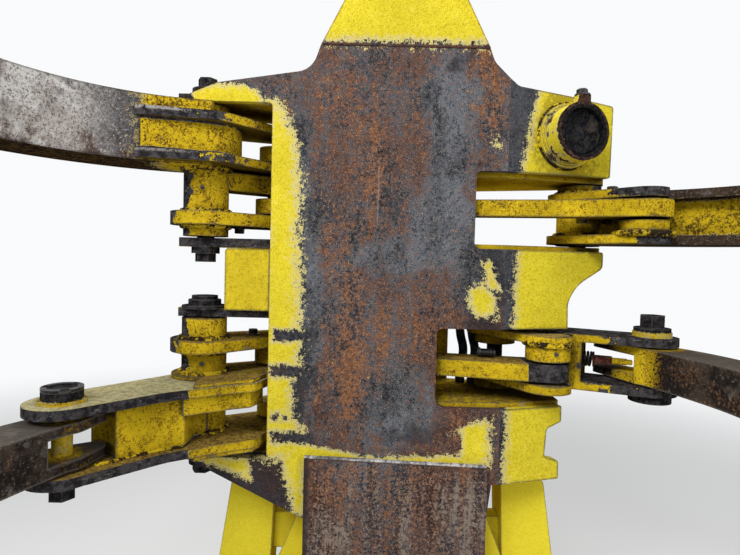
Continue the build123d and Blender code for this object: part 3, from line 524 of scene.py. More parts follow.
def arm_paint(name, browning, bare=None, chip=0.42, pale_top=0.0):
    """Paint of the arms: rubbed to dark steel on edges and where bare says so, with painted shade in the
    hollows and on faces that look down.
    """
    f = Finish(name)
    steel = black_steel(f)
    top_lug = (f.z - TOP_LUG).step(0.002, 0.007)
    low_lug = (f.z - LOW_LUG).step(0.003, 0.008) * (1.9 - f.z).step(0, 0.01)
    scuff = top_lug.most(low_lug * 0.6) * (-0.575 - f.x).step(0, 0.06)
    scuff = scuff * (f.middle + f.fine + f.grain * 0.5).step(-0.14, 0.10)
    steel = f.mix(scuff * 0.85, steel, (0.40, 0.365, 0.335))
    value = chip - f.edge(0.011) * 3.2 - (f.coarse * 0.9 + f.middle * 1.1 + f.fine * 0.8 + f.grain * 0.4)
    if bare is not None:
        value = value - bare(f).step(-0.012, 0.012) * 2.2
    paint = arm_gold(f, browning)
    # Darker in the hollows: painted shade, with noise for dirt
    dirt = (f.hollow_shade_and_dirt(0.08) + f.middle * 0.5 + f.fine * 0.4).step(0.22, 0.70)
    paint = f.mix(dirt * 0.9, paint, (0.040, 0.023, 0.009))
    # Darker on faces that look down: painted shade
    paint = f.mix(f.underside() * 0.8, paint, (0.060, 0.040, 0.014))
    top = f.topside()
    fleck = (f.middle + f.fine + f.grain * 0.5).step(-0.1, 0.12)
    dull = f.mix(fleck, (0.30, 0.20, 0.060), (0.085, 0.056, 0.030))
    pale = f.mix(fleck, (0.58, 0.56, 0.36), (0.36, 0.33, 0.20))
    paint = f.mix(top * 0.8, paint, f.mix((f.z - 1.15).step(0, 0.01) * pale_top, dull, pale))
    value = value + top * pale_top * 0.5
    return painted_over(f, value, paint, steel, f.middle * 0.6 + 0.6, f.fine + f.middle, 0.0, 0.10)


def hub_stripe(f, centre):
    """Bare stripe down the left of a hub and on the end of its crank plate."""
    stripe = (centre[0] - 0.036 - f.x + f.coarse * 0.10 + f.middle * 0.05).least(0.076 - f.around(centre))
    crank = (f.z - UPPER_CRANK).size().least((f.z - LOWER_CRANK).size())
    end = (-0.672 - f.x + f.coarse * 0.10 + f.middle * 0.06).least(0.024 - crank)
    return stripe.least(1.862 - f.z).most(end)


def lug_edges(f):
    """The front edges of the two upper left lugs, where they lap onto the beam."""
    off = (f.z - TOP_LUG).size().least((f.z - LOW_LUG).size())
    fade = -0.515 - f.x + f.coarse * 0.42 + f.middle * 0.36 + f.fine * 0.12
    return (0.0145 - off).least(fade).least((0.5 - f.up.size()) * 0.1)


def upper_left_bare(f):
    """Bare parts of the upper left arm."""
    return hub_stripe(f, LEFT_HINGE).most(lug_edges(f))


def upper_right_bare(f):
    """The rubbed outer ends of the upper right arm's plates, above and below."""
    above = (f.z - 1.802).least(f.x - 0.63 + f.coarse * 0.4)
    return above.most((1.690 - f.z).least(f.x - 0.655 + f.coarse * 0.4))


def lower_left_hub_bare(f):
    """The bare stripe of the lower left hub."""
    return hub_stripe(f, LEFT_HINGE)


def lower_left_bare(f):
    """The edges of the lower left fork plates."""
    return (-0.585 - f.x).least((f.z - 1.132).size() - 0.07).least(0.5 - f.up.size())


def lower_right_bare(f):
    """The outer end of the lower right arm, and the tops of its plates further in."""
    end = f.x - 0.625 + f.coarse * 0.5 + f.middle * 0.3
    return end.most((f.x - 0.480 + f.coarse * 0.4).least(f.up - 0.8))


def lower_link_bare(f):
    """The lower link's right end."""
    return f.x - 0.392


def upper_left_paint(f):
    """Depth inside the paint left on the upper left beam, round its hub."""
    return 0.185 - f.around((-0.615, -0.06))


def upper_right_paint(f):
    """Depth inside the paint left on the upper right beam's web, between its flanges."""
    web = (0.46 - f.around((0.62, -0.02))) * 0.5
    return web.least((1.794 - f.z) * 5).least((f.z - 1.691) * 5)


def beam_steel(name, paint_from, brown=0.4, dark=0.0):
    """Scuffed beam: mottled grey and brown, with fuzzy yellow left near the hub, and painted shade on faces
    that look down.
    """
    f = Finish(name)
    patch = f.noise(11, 5, 0.65, (3, 9, 1))
    base = f.mix((patch + f.middle * 0.8).step(0.30, 0.58), (0.330, 0.300, 0.285), (0.72, 0.705, 0.695))
    root = (0.34 - f.around(LEFT_HINGE)).step(-0.08, 0.10) * 0.88
    base = f.mix(root, base, (0.034, 0.036, 0.044))
    stain = (f.noise(6, 5, 0.65, (8, 8, 2)) + f.middle * 0.6).step(0.48, 0.62)
    base = f.mix(stain * brown, base, (0.150, 0.088, 0.052))
    foot = (f.coarse * 0.5 - f.z + 1.905 + f.middle * 0.1).step(0.02, 0.09)
    base = f.mix(foot * 0.75, base, (0.085, 0.044, 0.032))
    crust = f.mix((patch + f.fine).step(0.35, 0.6), (0.020, 0.014, 0.011), (0.090, 0.055, 0.032))
    base = f.mix(dark, base, crust)
    base = f.mix((f.fine + f.grain * 1.2).step(0.02, -0.20) * 0.80, base, (0.050, 0.029, 0.020))
    dust = f.grain * 1.2 + f.fine * 0.4 + f.middle * 0.4
    base = f.mix(dust.step(0.04, 0.20) * 0.45, base, (0.30, 0.185, 0.115))
    base = f.mix((f.fine + f.grain * 0.8).step(0.08, 0.26) * 0.60, base, (0.80, 0.77, 0.74))
    base = f.mix(dark * 0.7, base, (0.035, 0.024, 0.016))
    # Dark on faces that look down, and bare of paint there: painted shade
    under = f.mix((f.fine + f.middle * 0.6).step(-0.1, 0.16), (0.012, 0.008, 0.006), (0.080, 0.048, 0.018))
    base = f.mix(f.underside(), base, under)
    base = f.mix((f.edge(0.012) + f.coarse * 0.4).step(0.03, 0.10) * 0.8, base, (0.030, 0.026, 0.026))
    value = f.torn(paint_from(f), 0.05) - f.underside() * 1.2
    smear = f.noise(6, 5, 0.7, (1, 2, 3), (0.6, 0.6, 2.2)) + f.fine * 0.7 + f.middle * 0.3
    paint = f.mix(smear.step(0.50, 0.66) * 0.8, arm_gold(f, 0.95), (0.060, 0.035, 0.013))
    return painted_over(f, value, paint, base, f.middle * 0.6 + 0.62, f.fine + f.middle, 0.010, 0.3)


def tip_steel():
    """The hinged tips: dark steel, with paint left round their pins, painted highlights and a painted sheen
    on top.
    """
    f = Finish("Tip steel")
    patch = f.noise(9, 5, 0.65, (3, 9, 1))
    base = f.mix((patch + f.middle * 0.6).step(0.42, 0.60), (0.022, 0.018, 0.017), (0.062, 0.047, 0.038))
    rust = f.noise(8, 5, 0.7, (1, 1, 1)) + f.fine * 0.8
    base = f.mix(rust.step(0.56, 0.70) * 0.5, base, (0.19, 0.088, 0.034))
    base = f.mix((f.edge(0.010) + f.coarse * 0.4).step(0.03, 0.09) * 0.7, base, (0.20, 0.185, 0.17))
    # Pale specks: painted highlights
    base = f.mix((f.fine + f.grain * 0.6).step(0.08, 0.2) * 0.45, base, (0.34, 0.28, 0.22))
    base = f.mix((f.fine + f.grain * 0.6).step(-0.06, -0.2) * 0.7, base, (0.010, 0.008, 0.008))
    # Paler grey on faces that look up: painted reflection of the sky
    base = f.mix(f.topside() * 0.5, base, (0.16, 0.14, 0.12))
    left = 0.062 - f.around(LEFT_TIP)
    right = 0.108 - f.around((0.766, -0.055))
    return painted_over(f, f.torn(left.most(right) - 0.012, 0.06), arm_gold(f, 1.0), base,
                        f.middle * 0.6 + 0.62, f.fine + f.middle, 0.006, 0.0)


def dark_metal(f):
    """Colour of pins, bolts and nuts."""
    base = f.mix(f.middle.step(-0.1, 0.12), (0.011, 0.011, 0.013), (0.040, 0.038, 0.040))
    base = f.mix((f.edge(0.004) + f.middle * 0.3).step(0.05, 0.12) * 0.6, base, (0.20, 0.19, 0.185))
    return f.mix((f.fine + f.grain * 0.5).step(0.09, 0.2) * 0.4, base, (0.28, 0.20, 0.12))


def pin_steel():
    """The pins: dark steel, with paint on the left tip pin's sleeve and collar and the right one's washer."""
    f = Finish("Pin steel")
    sleeve = (0.08 - f.around(LEFT_TIP)).least(f.z - 1.068).least(1.190 - f.z)
    washer = (0.10 - f.around(RIGHT_TIP)).least(f.z - 1.384).least(1.401 - f.z)
    collar = (0.10 - f.around(LEFT_TIP)).least(f.z - 1.226).least(1.236 - f.z)
    value = f.torn(sleeve * 0.5, 0.02).most(f.torn(washer.most(collar), 0.006)) * 0.6
    paint = f.mix((f.middle + f.fine).step(-0.05, 0.12), arm_gold(f, 0.9), (0.52, 0.42, 0.13))
    return painted_over(f, value, paint, dark_metal(f), f.middle * 0.8 + 0.5, f.fine + f.middle, 0.0, 0.0)


@cache
def bolt_steel():
    """Bolts, nuts and hard pipes."""
    f = Finish("Bolt steel")
    return f.finish(dark_metal(f), f.middle * 0.8 + 0.5, 0.3, f.fine + f.middle, 0.4, 0.001, 0.2)


def saw_steel():
    """The saw: brown disc with bright rubbed edges."""
    f = Finish("Saw steel")
    ring = f.noise(40, 3, 0.6, (0, 0, 0), (1, 1, 0.1))
    base = f.mix((ring + f.coarse * 0.6).step(0.4, 0.62), (0.11, 0.10, 0.095), (0.24, 0.23, 0.22))
    base = f.mix((f.coarse + f.fine * 0.5).step(0.02, 0.10) * 0.7, base, (0.16, 0.080, 0.040))
    base = f.mix((f.edge(0.006) + f.middle * 0.3).step(0.04, 0.12) * 0.7, base, (0.46, 0.45, 0.44))
    return f.finish(base, f.middle * 0.5 + 0.45, 0.6, f.fine + f.middle * 0.6, 0.35, 0.001)


def sole_steel():
    """The skid: scraped steel with rust between the scrapes."""
    f = Finish("Sole steel")
    scrape = f.noise(26, 5, 0.7, (1, 1, 1), (4, 0.4, 1))
    base = f.mix(scrape.step(0.42, 0.60), (0.060, 0.052, 0.050), (0.20, 0.185, 0.17))
    base = f.mix((f.coarse + f.fine * 0.5).step(0.01, 0.10) * 0.8, base, (0.15, 0.072, 0.036))
    base = f.mix((f.edge(0.012) + f.middle * 0.4).step(0.03, 0.1) * 0.6, base, (0.34, 0.33, 0.32))
    return f.finish(base, f.middle * 0.6 + 0.55, 0.3, f.fine + scrape * 0.6, 0.45, 0.0014)


def bumper_paint():
    """The bumper's tube: chipped paint, a bare dirty rim and rubber smeared over its inner edge."""
    f = Finish("Bumper paint")
    steel = f.mix((f.middle + f.fine).step(-0.05, 0.16), (0.022, 0.016, 0.014), (0.078, 0.040, 0.027))
    steel = f.mix((f.fine + f.grain).step(0.1, 0.28) * 0.35, steel, (0.28, 0.22, 0.18))
    east, north, rise = f.x - BUMPER[0], f.y - BUMPER[1], f.z - BUMPER[2]
    out = east * math.sin(FOLD) - north * math.cos(FOLD)
    across = (east * east + north * north + rise * rise - out * out).root()
    smear = (0.0750 - across + f.coarse * 0.010 + f.middle * 0.008).step(-0.002, 0.002)
    rubber = f.mix(f.fine.step(-0.1, 0.1), (0.005, 0.005, 0.006), (0.024, 0.022, 0.022))
    steel = f.mix(smear * (out - 0.055).step(0, 0.01), steel, rubber)
    inside = (0.0675 - across).step(0, 0.001)
    rim = (out - 0.069).most(0)
    band = ((out - 0.030).size() * -1 + 0.010).step(0, 0.006)
    value = 0.36 - inside * 3 - rim * 60 - band * 0.3 - f.edge(0.006) * 1.6
    value = value - f.coarse * 2.0 - f.middle * 1.5 - f.fine * 1.2
    # Darker in the hollows: painted shade, also standing for dirt
    paint = f.mix(f.hollow_shade_and_dirt(0.05).step(0.3, 0.9) * 0.6, plate_yellow(f), (0.06, 0.045, 0.02))
    return painted_over(f, value, paint, steel, f.middle * 0.5 + 0.6, f.fine + f.middle, 0.0, 0.3)


@cache
def stop_rubber():
    """Black rubber of the bumper, dusty in places."""
    f = Finish("Stop rubber")
    crumbs = f.middle + f.fine + f.grain * 0.5
    base = f.mix(crumbs.step(-0.1, 0.14), (0.004, 0.004, 0.005), (0.026, 0.025, 0.026))
    base = f.mix((f.coarse + f.middle * 0.7).step(0.04, 0.14) * 0.6, base, (0.060, 0.046, 0.036))
    return f.finish(base, f.middle * 0.6 + 0.55, 0.0, f.middle + f.fine * 0.6 + f.coarse, 0.8, 0.004)


def rod_finish():
    """Chromed rods with painted eyes."""
    f = Finish("Rod finish")
    chrome = f.mix((f.middle + f.fine * 0.4).step(0.10, 0.2) * 0.6, (0.55, 0.55, 0.56), (0.14, 0.10, 0.07))
    eye = f.torn(0.082 - f.around(ROD_EYES), 0.01).step(-0.1, 0.1)
    value = 0.35 - f.edge(0.008) * 2.0 - f.coarse * 0.9 - f.middle * 1.1 - f.fine * 0.8
    paint = f.mix(value.step(-0.03, 0.03), black_steel(f), arm_gold(f, 0.6))
    colour = f.mix(eye, chrome, paint)
    return f.finish(colour, eye * 0.35 + 0.22, 0.9 * (1 - eye), f.fine + f.middle, 0.2, 0.001)


@cache
def motor_iron():
    """Dark cast iron with dust on top."""
    f = Finish("Motor iron")
    base = f.mix(f.middle.step(-0.1, 0.1), (0.020, 0.020, 0.022), (0.060, 0.058, 0.058))
    base = f.mix(f.topside() * 0.5, base, (0.16, 0.13, 0.10))
    return f.finish(base, f.middle * 0.6 + 0.6, 0.0, f.fine + f.middle, 0.5, 0.0012)


def pale_weld():
    """Weld bead scraped bright."""
    f = Finish("Pale weld")
    base = f.mix((f.middle + f.fine).step(-0.1, 0.1), (0.16, 0.155, 0.16), (0.55, 0.53, 0.52))
    base = f.mix((f.coarse + f.fine).step(0.02, 0.14) * 0.7, base, (0.050, 0.036, 0.030))
    return f.finish(base, f.middle * 0.5 + 0.5, 0.3, f.fine + f.middle, 0.5, 0.001)


@cache
def dirty_weld():
    """Weld bead painted with the arms and packed with dirt, with painted shade in its hollows."""
    f = Finish("Dirty weld")
    base = f.mix((f.coarse + f.middle + f.fine).step(-0.14, 0.06), arm_gold(f, 0.9), (0.022, 0.014, 0.009))
    # Darker in the hollows: painted shade, also standing for dirt
    base = f.mix(f.hollow_shade_and_dirt(0.03).step(0.4, 0.9) * 0.6, base, (0.030, 0.019, 0.009))
    return f.finish(base, f.middle * 0.5 + 0.6, 0.0, f.fine + f.middle, 0.5, 0.001)


def dark_weld():
    """Weld bead between bare plates."""
    f = Finish("Dark weld")
    base = f.mix((f.coarse + f.fine).step(-0.1, 0.1), black_steel(f), (0.12, 0.056, 0.036))
    return f.finish(base, f.middle * 0.5 + 0.6, 0.0, f.fine + f.middle, 0.5, 0.001)


@cache
def hose_rubber():
    """Blue-black hoses with dust on top."""
    f = Finish("Hose rubber")
    base = f.mix((f.coarse + f.fine).step(-0.1, 0.14), (0.012, 0.022, 0.030), (0.036, 0.060, 0.076))
    base = f.mix(f.up.step(0.2, 0.9) * 0.4, base, (0.14, 0.12, 0.09))
    return f.finish(base, f.middle * 0.5 + 0.6, 0.0, f.fine, 0.3, 0.0008)


def spring_steel():
    """The dark, slightly rusty spring."""
    f = Finish("Spring steel")
    base = f.mix((f.middle + f.fine).step(-0.1, 0.14), (0.012, 0.011, 0.012), (0.055, 0.034, 0.026))
    return f.finish(base, f.middle * 0.5 + 0.55, 0.3, f.fine + f.middle, 0.4, 0.001)


@cache
def clevis_iron():
    """Dark red primer on the clevis and the spring cup, with painted shade in its hollows."""
    f = Finish("Clevis iron")
    base = f.mix((f.middle + f.fine).step(-0.1, 0.14), (0.050, 0.014, 0.011), (0.13, 0.050, 0.034))
    # Near black in the hollows: painted shade
    base = f.mix(f.hollow_shade_and_dirt(0.03).step(0.4, 0.9) * 0.6, base, (0.014, 0.010, 0.009))
    return f.finish(base, f.middle * 0.5 + 0.6, 0.0, f.fine + f.middle, 0.4, 0.001)


def bar_paint():
    """Dirty yellow paint of the stop bar."""
    f = Finish("Bar paint")
    return f.finish(arm_gold(f, 0.8), 0.55, 0.0, f.fine + f.middle, 0.4, 0.001)


def floor_finish(colour):
    """The floor: plain near the head, and as bright as the backdrop further out."""
    f = Finish("Floor")
    reach = f.around((0, 0)).step(2.8, 7.0)
    f.feed(f.shader.inputs["Emission Strength"], 1.0)
    f.feed(f.shader.inputs["Emission Color"], f.mix(reach * f.seen(), (0.0, 0.0, 0.0), BACKDROP))
    return f.finish(f.mix(reach, colour, (0.0, 0.0, 0.0)), 0.9, gloss=0.0)


# Modelling steps


def only(piece):
    """Selects this piece alone."""
    bpy.ops.object.select_all(action="DESELECT")
    piece.select_set(True)
    bpy.context.view_layer.objects.active = piece


def into_place(piece):
    """Puts the piece's place and turn into its mesh."""
    only(piece)
    bpy.ops.object.transform_apply(location=True, rotation=True, scale=True)
    return piece


def put(piece, place, turn=(0, 0, 0)):
    """Moves and turns a piece that is modelled at the origin."""
    piece.location = place
    piece.rotation_euler = turn
    return into_place(piece)


def pointing(direction):
    """The turn that points an upright piece in a direction."""
    return direction.to_track_quat("Z", "Y").to_euler()


def clear_picks(piece, kind):
    """Leaves none of the piece's faces, edges or points selected, and that kind to be picked."""
    only(piece)
    bpy.ops.object.mode_set(mode="EDIT")
    bpy.ops.mesh.select_mode(type=kind)
    bpy.ops.mesh.select_all(action="DESELECT")
    bpy.ops.object.mode_set(mode="OBJECT")


def pick_faces(piece, test):
    """Opens the piece in edit mode with the faces selected whose centre and normal pass the test."""
    clear_picks(piece, "FACE")
    for face in piece.data.polygons:
        face.select = test(face.center, face.normal)
    bpy.ops.object.mode_set(mode="EDIT")


def pick_edges(piece, test):
    """Opens the piece in edit mode with the edges selected whose two ends pass the test."""
    clear_picks(piece, "EDGE")
    points = piece.data.vertices
    for edge in piece.data.edges:
        edge.select = test(*(points[i].co for i in edge.vertices))
    bpy.ops.object.mode_set(mode="EDIT")


def pick_points(piece, test):
    """Opens the piece in edit mode with the points selected whose place passes the test."""
    clear_picks(piece, "VERT")
    for point in piece.data.vertices:
        point.select = test(point.co)
    bpy.ops.object.mode_set(mode="EDIT")


def extrude(x=0, y=0, z=0):
    """Extrudes the picked faces by a step."""
    bpy.ops.mesh.extrude_region_move(TRANSFORM_OT_translate={"value": (x, y, z)})


def modify(piece, kind, **settings):
    """Adds one modifier and applies it."""
    only(piece)
    bpy.ops.object.modifier_add(type=kind)
    modifier = piece.modifiers[-1]
    for name, value in settings.items():
        setattr(modifier, name, value)
    bpy.ops.object.modifier_apply(modifier=modifier.name)


def stepped(name, sides, radius, foot, steps):
    """A turned piece standing at the origin: a disc with (inset, rise) steps worked into its top face."""
    bpy.ops.mesh.primitive_cylinder_add(vertices=sides, radius=radius, depth=foot, location=(0, 0, foot / 2))
    piece = into_place(bpy.context.object)
    piece.name = name
    pick_faces(piece, lambda centre, normal: normal.z > 0.9)
    for inset, rise in steps:
        if inset:
            bpy.ops.mesh.inset(thickness=inset)
        if rise:
            extrude(z=rise)
    bpy.ops.object.mode_set(mode="OBJECT")
    return piece


def panelled(name, place, size, inset, rise, taper=None):
    """A box with a raised panel on its rear face."""
    bpy.ops.mesh.primitive_cube_add(size=1, location=place, scale=size)
    piece = into_place(bpy.context.object)
    piece.name = name
    pick_faces(piece, lambda centre, normal: normal.y > 0.9)
    bpy.ops.mesh.inset(thickness=inset)
    extrude(y=rise)
    if taper:
        bpy.ops.transform.resize(value=(taper, 1, taper))
    bpy.ops.object.mode_set(mode="OBJECT")
    return piece


def joined(pieces, name):
    """Joins pieces into one."""
    bpy.ops.object.select_all(action="DESELECT")
    for piece in pieces:
        piece.select_set(True)
    bpy.context.view_layer.objects.active = pieces[0]
    if len(pieces) > 1:
        bpy.ops.object.join()
    pieces[0].name = name
    return pieces[0]


def copied(model, name, place, turn=(0, 0, 0)):
    """A copy of a piece modelled at the origin, with its own mesh, put at its place."""
    only(model)
    bpy.ops.object.duplicate()
    piece = bpy.context.object
    piece.name = name
    return put(piece, place, turn)


def fitted(piece, finish, body):
    """Gives a finished piece its material and the body that it rides on."""
    piece.data.materials.clear()
    piece.data.materials.append(finish)
    only(piece)
    bpy.ops.object.shade_smooth_by_angle(angle=SMOOTH_BELOW)
    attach(piece, body)
    return piece


def hex_bolt(name, radius, washer):
    """A hexagon bolt head on a washer, pointing up from the origin."""
    disc = stepped(name, 32, washer, 0.0035, [(0.0015, 0.0010)])
    bpy.ops.mesh.primitive_cylinder_add(vertices=6, radius=radius, depth=radius * 0.8,
                                        location=(0, 0, 0.0045 + radius * 0.4))
    head = into_place(bpy.context.object)
    pick_faces(head, lambda centre, normal: normal.z > 0.9)
    extrude(z=radius * 0.12)
    bpy.ops.transform.resize(value=(0.86, 0.86, 1))
    bpy.ops.mesh.inset(thickness=radius * 0.25)
    bpy.ops.transform.translate(value=(0, 0, -radius * 0.05))
    bpy.ops.object.mode_set(mode="OBJECT")
    return joined([disc, head], name)


def hose_nut():
    """A hexagon nut on the end of a hose or pipe, with a short neck."""
    return stepped("hose_nut", 6, 0.0180, 0.016, [(0.003, 0.002), (0, 0.014), (0.002, 0.002)])


def weld_ring(name, radius, thick):
    """A rippled ring of weld round a tube, lying at the origin."""
    turns = int(math.tau * radius / RING_RIPPLE) * 2
    bpy.ops.mesh.primitive_torus_add(major_radius=radius, minor_radius=thick, major_segments=turns,
                                     minor_segments=8)
    piece = bpy.context.object
    piece.name = name
    pick_points(piece, lambda p: round(math.atan2(p.y, p.x) / math.tau * turns) % 2 == 0)
    bpy.ops.transform.shrink_fatten(value=thick * 0.16)
    bpy.ops.mesh.select_all(action="SELECT")
    bpy.ops.transform.vertex_random(offset=thick * 0.10, seed=turns)
    bpy.ops.object.mode_set(mode="OBJECT")
    return piece


def weld_line(name, start, end, thick):
    """A rippled straight run of weld from start to end."""
    start, end = Vector(start), Vector(end)
    long = (end - start).length
    bpy.ops.mesh.primitive_cylinder_add(vertices=8, radius=thick, depth=long)
    piece = bpy.context.object
    piece.name = name
    pick_edges(piece, lambda one, two: abs(one.z - two.z) > long / 2)
    cuts = max(2, int(long / LINE_RIPPLE))
    bpy.ops.mesh.subdivide(number_cuts=cuts)
    bpy.ops.object.mode_set(mode="OBJECT")
    pick_points(piece, lambda p: round((p.z / long + 0.5) * (cuts + 1)) % 2 == 0)
    bpy.ops.transform.resize(value=(1.18, 1.18, 1))
    bpy.ops.mesh.select_all(action="SELECT")
    bpy.ops.transform.vertex_random(offset=thick * 0.12, seed=cuts)
    bpy.ops.object.mode_set(mode="OBJECT")
    return put(piece, (start + end) / 2, pointing(end - start))


def weld_run(name, points, thick):
    """Runs of weld along a line of points, joined into one piece."""
    runs = [weld_line(name, one, two, thick) for one, two in zip(points, points[1:])]
    return joined(runs, name)


def bent_tube(name, points, radius):
    """A tube or hose along a smooth route."""
    bpy.ops.curve.primitive_nurbs_path_add()
    piece = bpy.context.object
    piece.name = name
    spline = piece.data.splines[0]
    spline.points.add(max(0, len(points) - len(spline.points)))
    for index, point in enumerate(spline.points):
        point.co = (*points[min(index, len(points) - 1)], 1)
    spline.order_u = 3
    spline.use_endpoint_u = True
    spline.resolution_u = 6
    piece.data.bevel_depth = radius
    piece.data.bevel_resolution = 3
    piece.data.use_fill_caps = True
    piece.location = (0, 0, 0)
    only(piece)
    bpy.ops.object.convert(target="MESH")
    return into_place(bpy.context.object)


def round_saw(count, radius, height, start=0.0):
    """Places evenly spaced round the saw's axis."""
    angles = [start + index * math.tau / count for index in range(count)]
    return [(radius * math.cos(angle), radius * math.sin(angle), height) for angle in angles]


# Settings and operators


class HeadSettings(bpy.types.PropertyGroup):
    plate_yellow: bpy.props.FloatVectorProperty(
        name="Plate yellow", description="Paint of the plates, horn and legs",
        size=3, subtype="COLOR", default=(0.86, 0.71, 0.040))
    arm_yellow: bpy.props.FloatVectorProperty(
        name="Arm yellow", description="Paint of the arms, links and ribs",
        size=3, subtype="COLOR", default=(0.76, 0.53, 0.018))
    rust: bpy.props.FloatVectorProperty(
        name="Rust", description="Rust of the bare plates",
        size=3, subtype="COLOR", default=(0.112, 0.056, 0.040))
    fresh_rust: bpy.props.FloatVectorProperty(
        name="Fresh rust", description="Orange rust in streaks down the plates",
        size=3, subtype="COLOR", default=(0.290, 0.120, 0.044))
    bare_steel: bpy.props.FloatVectorProperty(
        name="Bare steel", description="Steel where no rust has formed",
        size=3, subtype="COLOR", default=(0.122, 0.134, 0.152))
    floor_colour: bpy.props.FloatVectorProperty(
        name="Floor", description="Colour of the floor",
        size=3, subtype="COLOR", default=(0.72, 0.72, 0.71))
    lens: bpy.props.FloatProperty(
        name="Lens", description="Focal length of the camera", default=26.27, unit="CAMERA")
    eye_height: bpy.props.FloatProperty(
        name="Eye height", description="Height of the camera", default=1.6, unit="LENGTH")
    key_power: bpy.props.FloatProperty(
        name="Key light", description="Power of the main light", default=225, unit="POWER")


class HEAD_OT_finish_nodes(bpy.types.Operator):
    """Gives every construction piece its worn finish"""
    bl_idname = "head.finish_nodes"
    bl_label = "Finish the steel pieces"

    def execute(self, context):
        finishes = {
            "front_plate": column_plate(),
            "lower_plate": wear_plate(),
            "horn": horn_paint(),
            "left_lobe": lobe_paint(),
            "bumper_tube": bumper_paint(),
            "bumper_rubber": stop_rubber(),
            "skid": sole_steel(),
            "saw_motor": motor_iron(),
            "arm_ul_hub": arm_paint("Upper left arm paint", 1.0, upper_left_bare),
            "arm_ul_beam": beam_steel("Upper left beam", upper_left_paint),
            "arm_ur_hub": arm_paint("Upper right arm paint", 0.6, upper_right_bare),
            "arm_ur_beam": beam_steel("Upper right beam", upper_right_paint, 0.7, 0.85),
            "arm_ll_hub": arm_paint("Lower left hub paint", 0.8, lower_left_hub_bare),
            "arm_ll_beam": arm_paint("Lower left arm paint", 0.75, lower_left_bare, 0.45, 1.0),
            "arm_lr_hub": arm_paint("Lower right arm paint", 0.75, lower_right_bare, 0.36, 0.2),
            "link_upper": arm_paint("Upper link paint", 0.75, None, 0.46),
            "link_lower": arm_paint("Lower link paint", 0.8, lower_link_bare, 0.45),
        }
        for finish, names in (
            (folded_plates(), ("right_shoulder_plate", "right_upper_lobe", "right_lower_lobe")),
            (clean_paint(), ("leg_left", "leg_right")),
            (deck_paint(), ("deck", "saw_wall")),
            (saw_steel(), ("saw_disc", "saw_teeth", "saw_hub")),
            (tip_steel(), ("tip_left", "tip_right")),
            (rod_finish(), ("rod_upper", "rod_lower")),
            (arm_paint("Barrel paint", 0.7), ("barrel_upper", "barrel_lower")),
            (pin_steel(), ("pin_left_upper", "pin_left_lower", "pin_right_upper", "pin_right_lower",
                           "tip_pin_left", "tip_pin_right")),
        ):
            finishes.update({name: finish for name in names})
        for name, node in frame["nodes"].items():
            node.data.materials.clear()
            node.data.materials.append(finishes.get(name, rib_paint()))
        return {"FINISHED"}


class HEAD_OT_bolts(bpy.types.Operator):
    """Adds the bolts on the arms, the bumper, the saw and the back, and the grease nipples"""
    bl_idname = "head.bolts"
    bl_label = "Bolts"

    def execute(self, context):
        steel = bolt_steel()
        arm_bolt = hex_bolt("arm_bolt", 0.016, 0.021)
        for name, place, turn, body in (
            ("bolt_lower_left_crank", (-0.465, 0.050, 1.345), (0, 0, 0.3), "arm_lower_left"),
            ("bolt_upper_left_crank", (-0.510, 0.032, 1.690), (math.pi, 0, 0), "arm_upper_left"),
            ("bolt_upper_right_lug", (0.650, -0.030, 1.822), (0, 0, 0.2), "arm_upper_right"),
            ("bolt_bumper_ear", (0.514, -0.113, 2.089), (0, 0, 0.26), "frame"),
        ):
            fitted(copied(arm_bolt, name, place, turn), steel, body)
        bpy.data.objects.remove(arm_bolt)

        small = hex_bolt("small_bolt", 0.011, 0.015)
        cover_places = [(x, 0.2945, z) for x in (-0.19, -0.04, 0.11) for z in (1.70, 2.00)]
        for name, places, tilt, twist, body in (
            ("cover_bolts", cover_places, -math.pi / 2, 0, "frame"),
            ("deck_bolts", round_saw(8, 0.125, 0.153, 0.2), 0, 0.7, "frame"),
            ("hub_bolts", round_saw(6, 0.098, 0.0995), 0, 0.7, "saw"),
            ("tooth_bolts", round_saw(18, 0.652, 0.0918), 0, 0.7, "saw"),
        ):
            row = [copied(small, name, place, (tilt, 0, index * twist)) for index, place in enumerate(places)]
            fitted(joined(row, name), steel, body)
        bpy.data.objects.remove(small)

        neck = [(0.0022, 0.006), (0.001, 0.0005), (0, 0.004), (0.0015, 0.001)]
        nipple = stepped("nipple", 6, 0.0065, 0.005, neck)
        for name, place, body in (
            ("nipple_upper_left", (-0.590, -0.098, 1.800), "arm_upper_left"),
            ("nipple_lower_left", (-0.585, -0.098, 1.275), "arm_lower_left"),
            ("nipple_lower_right", (0.462, -0.127, 1.334), "arm_lower_right"),
            ("nipple_upper_right", (0.575, -0.001, 1.742), "arm_upper_right"),
        ):
            fitted(copied(nipple, name, place, (math.pi / 2, 0, 0)), steel, body)
        bpy.data.objects.remove(nipple)
        return {"FINISHED"}


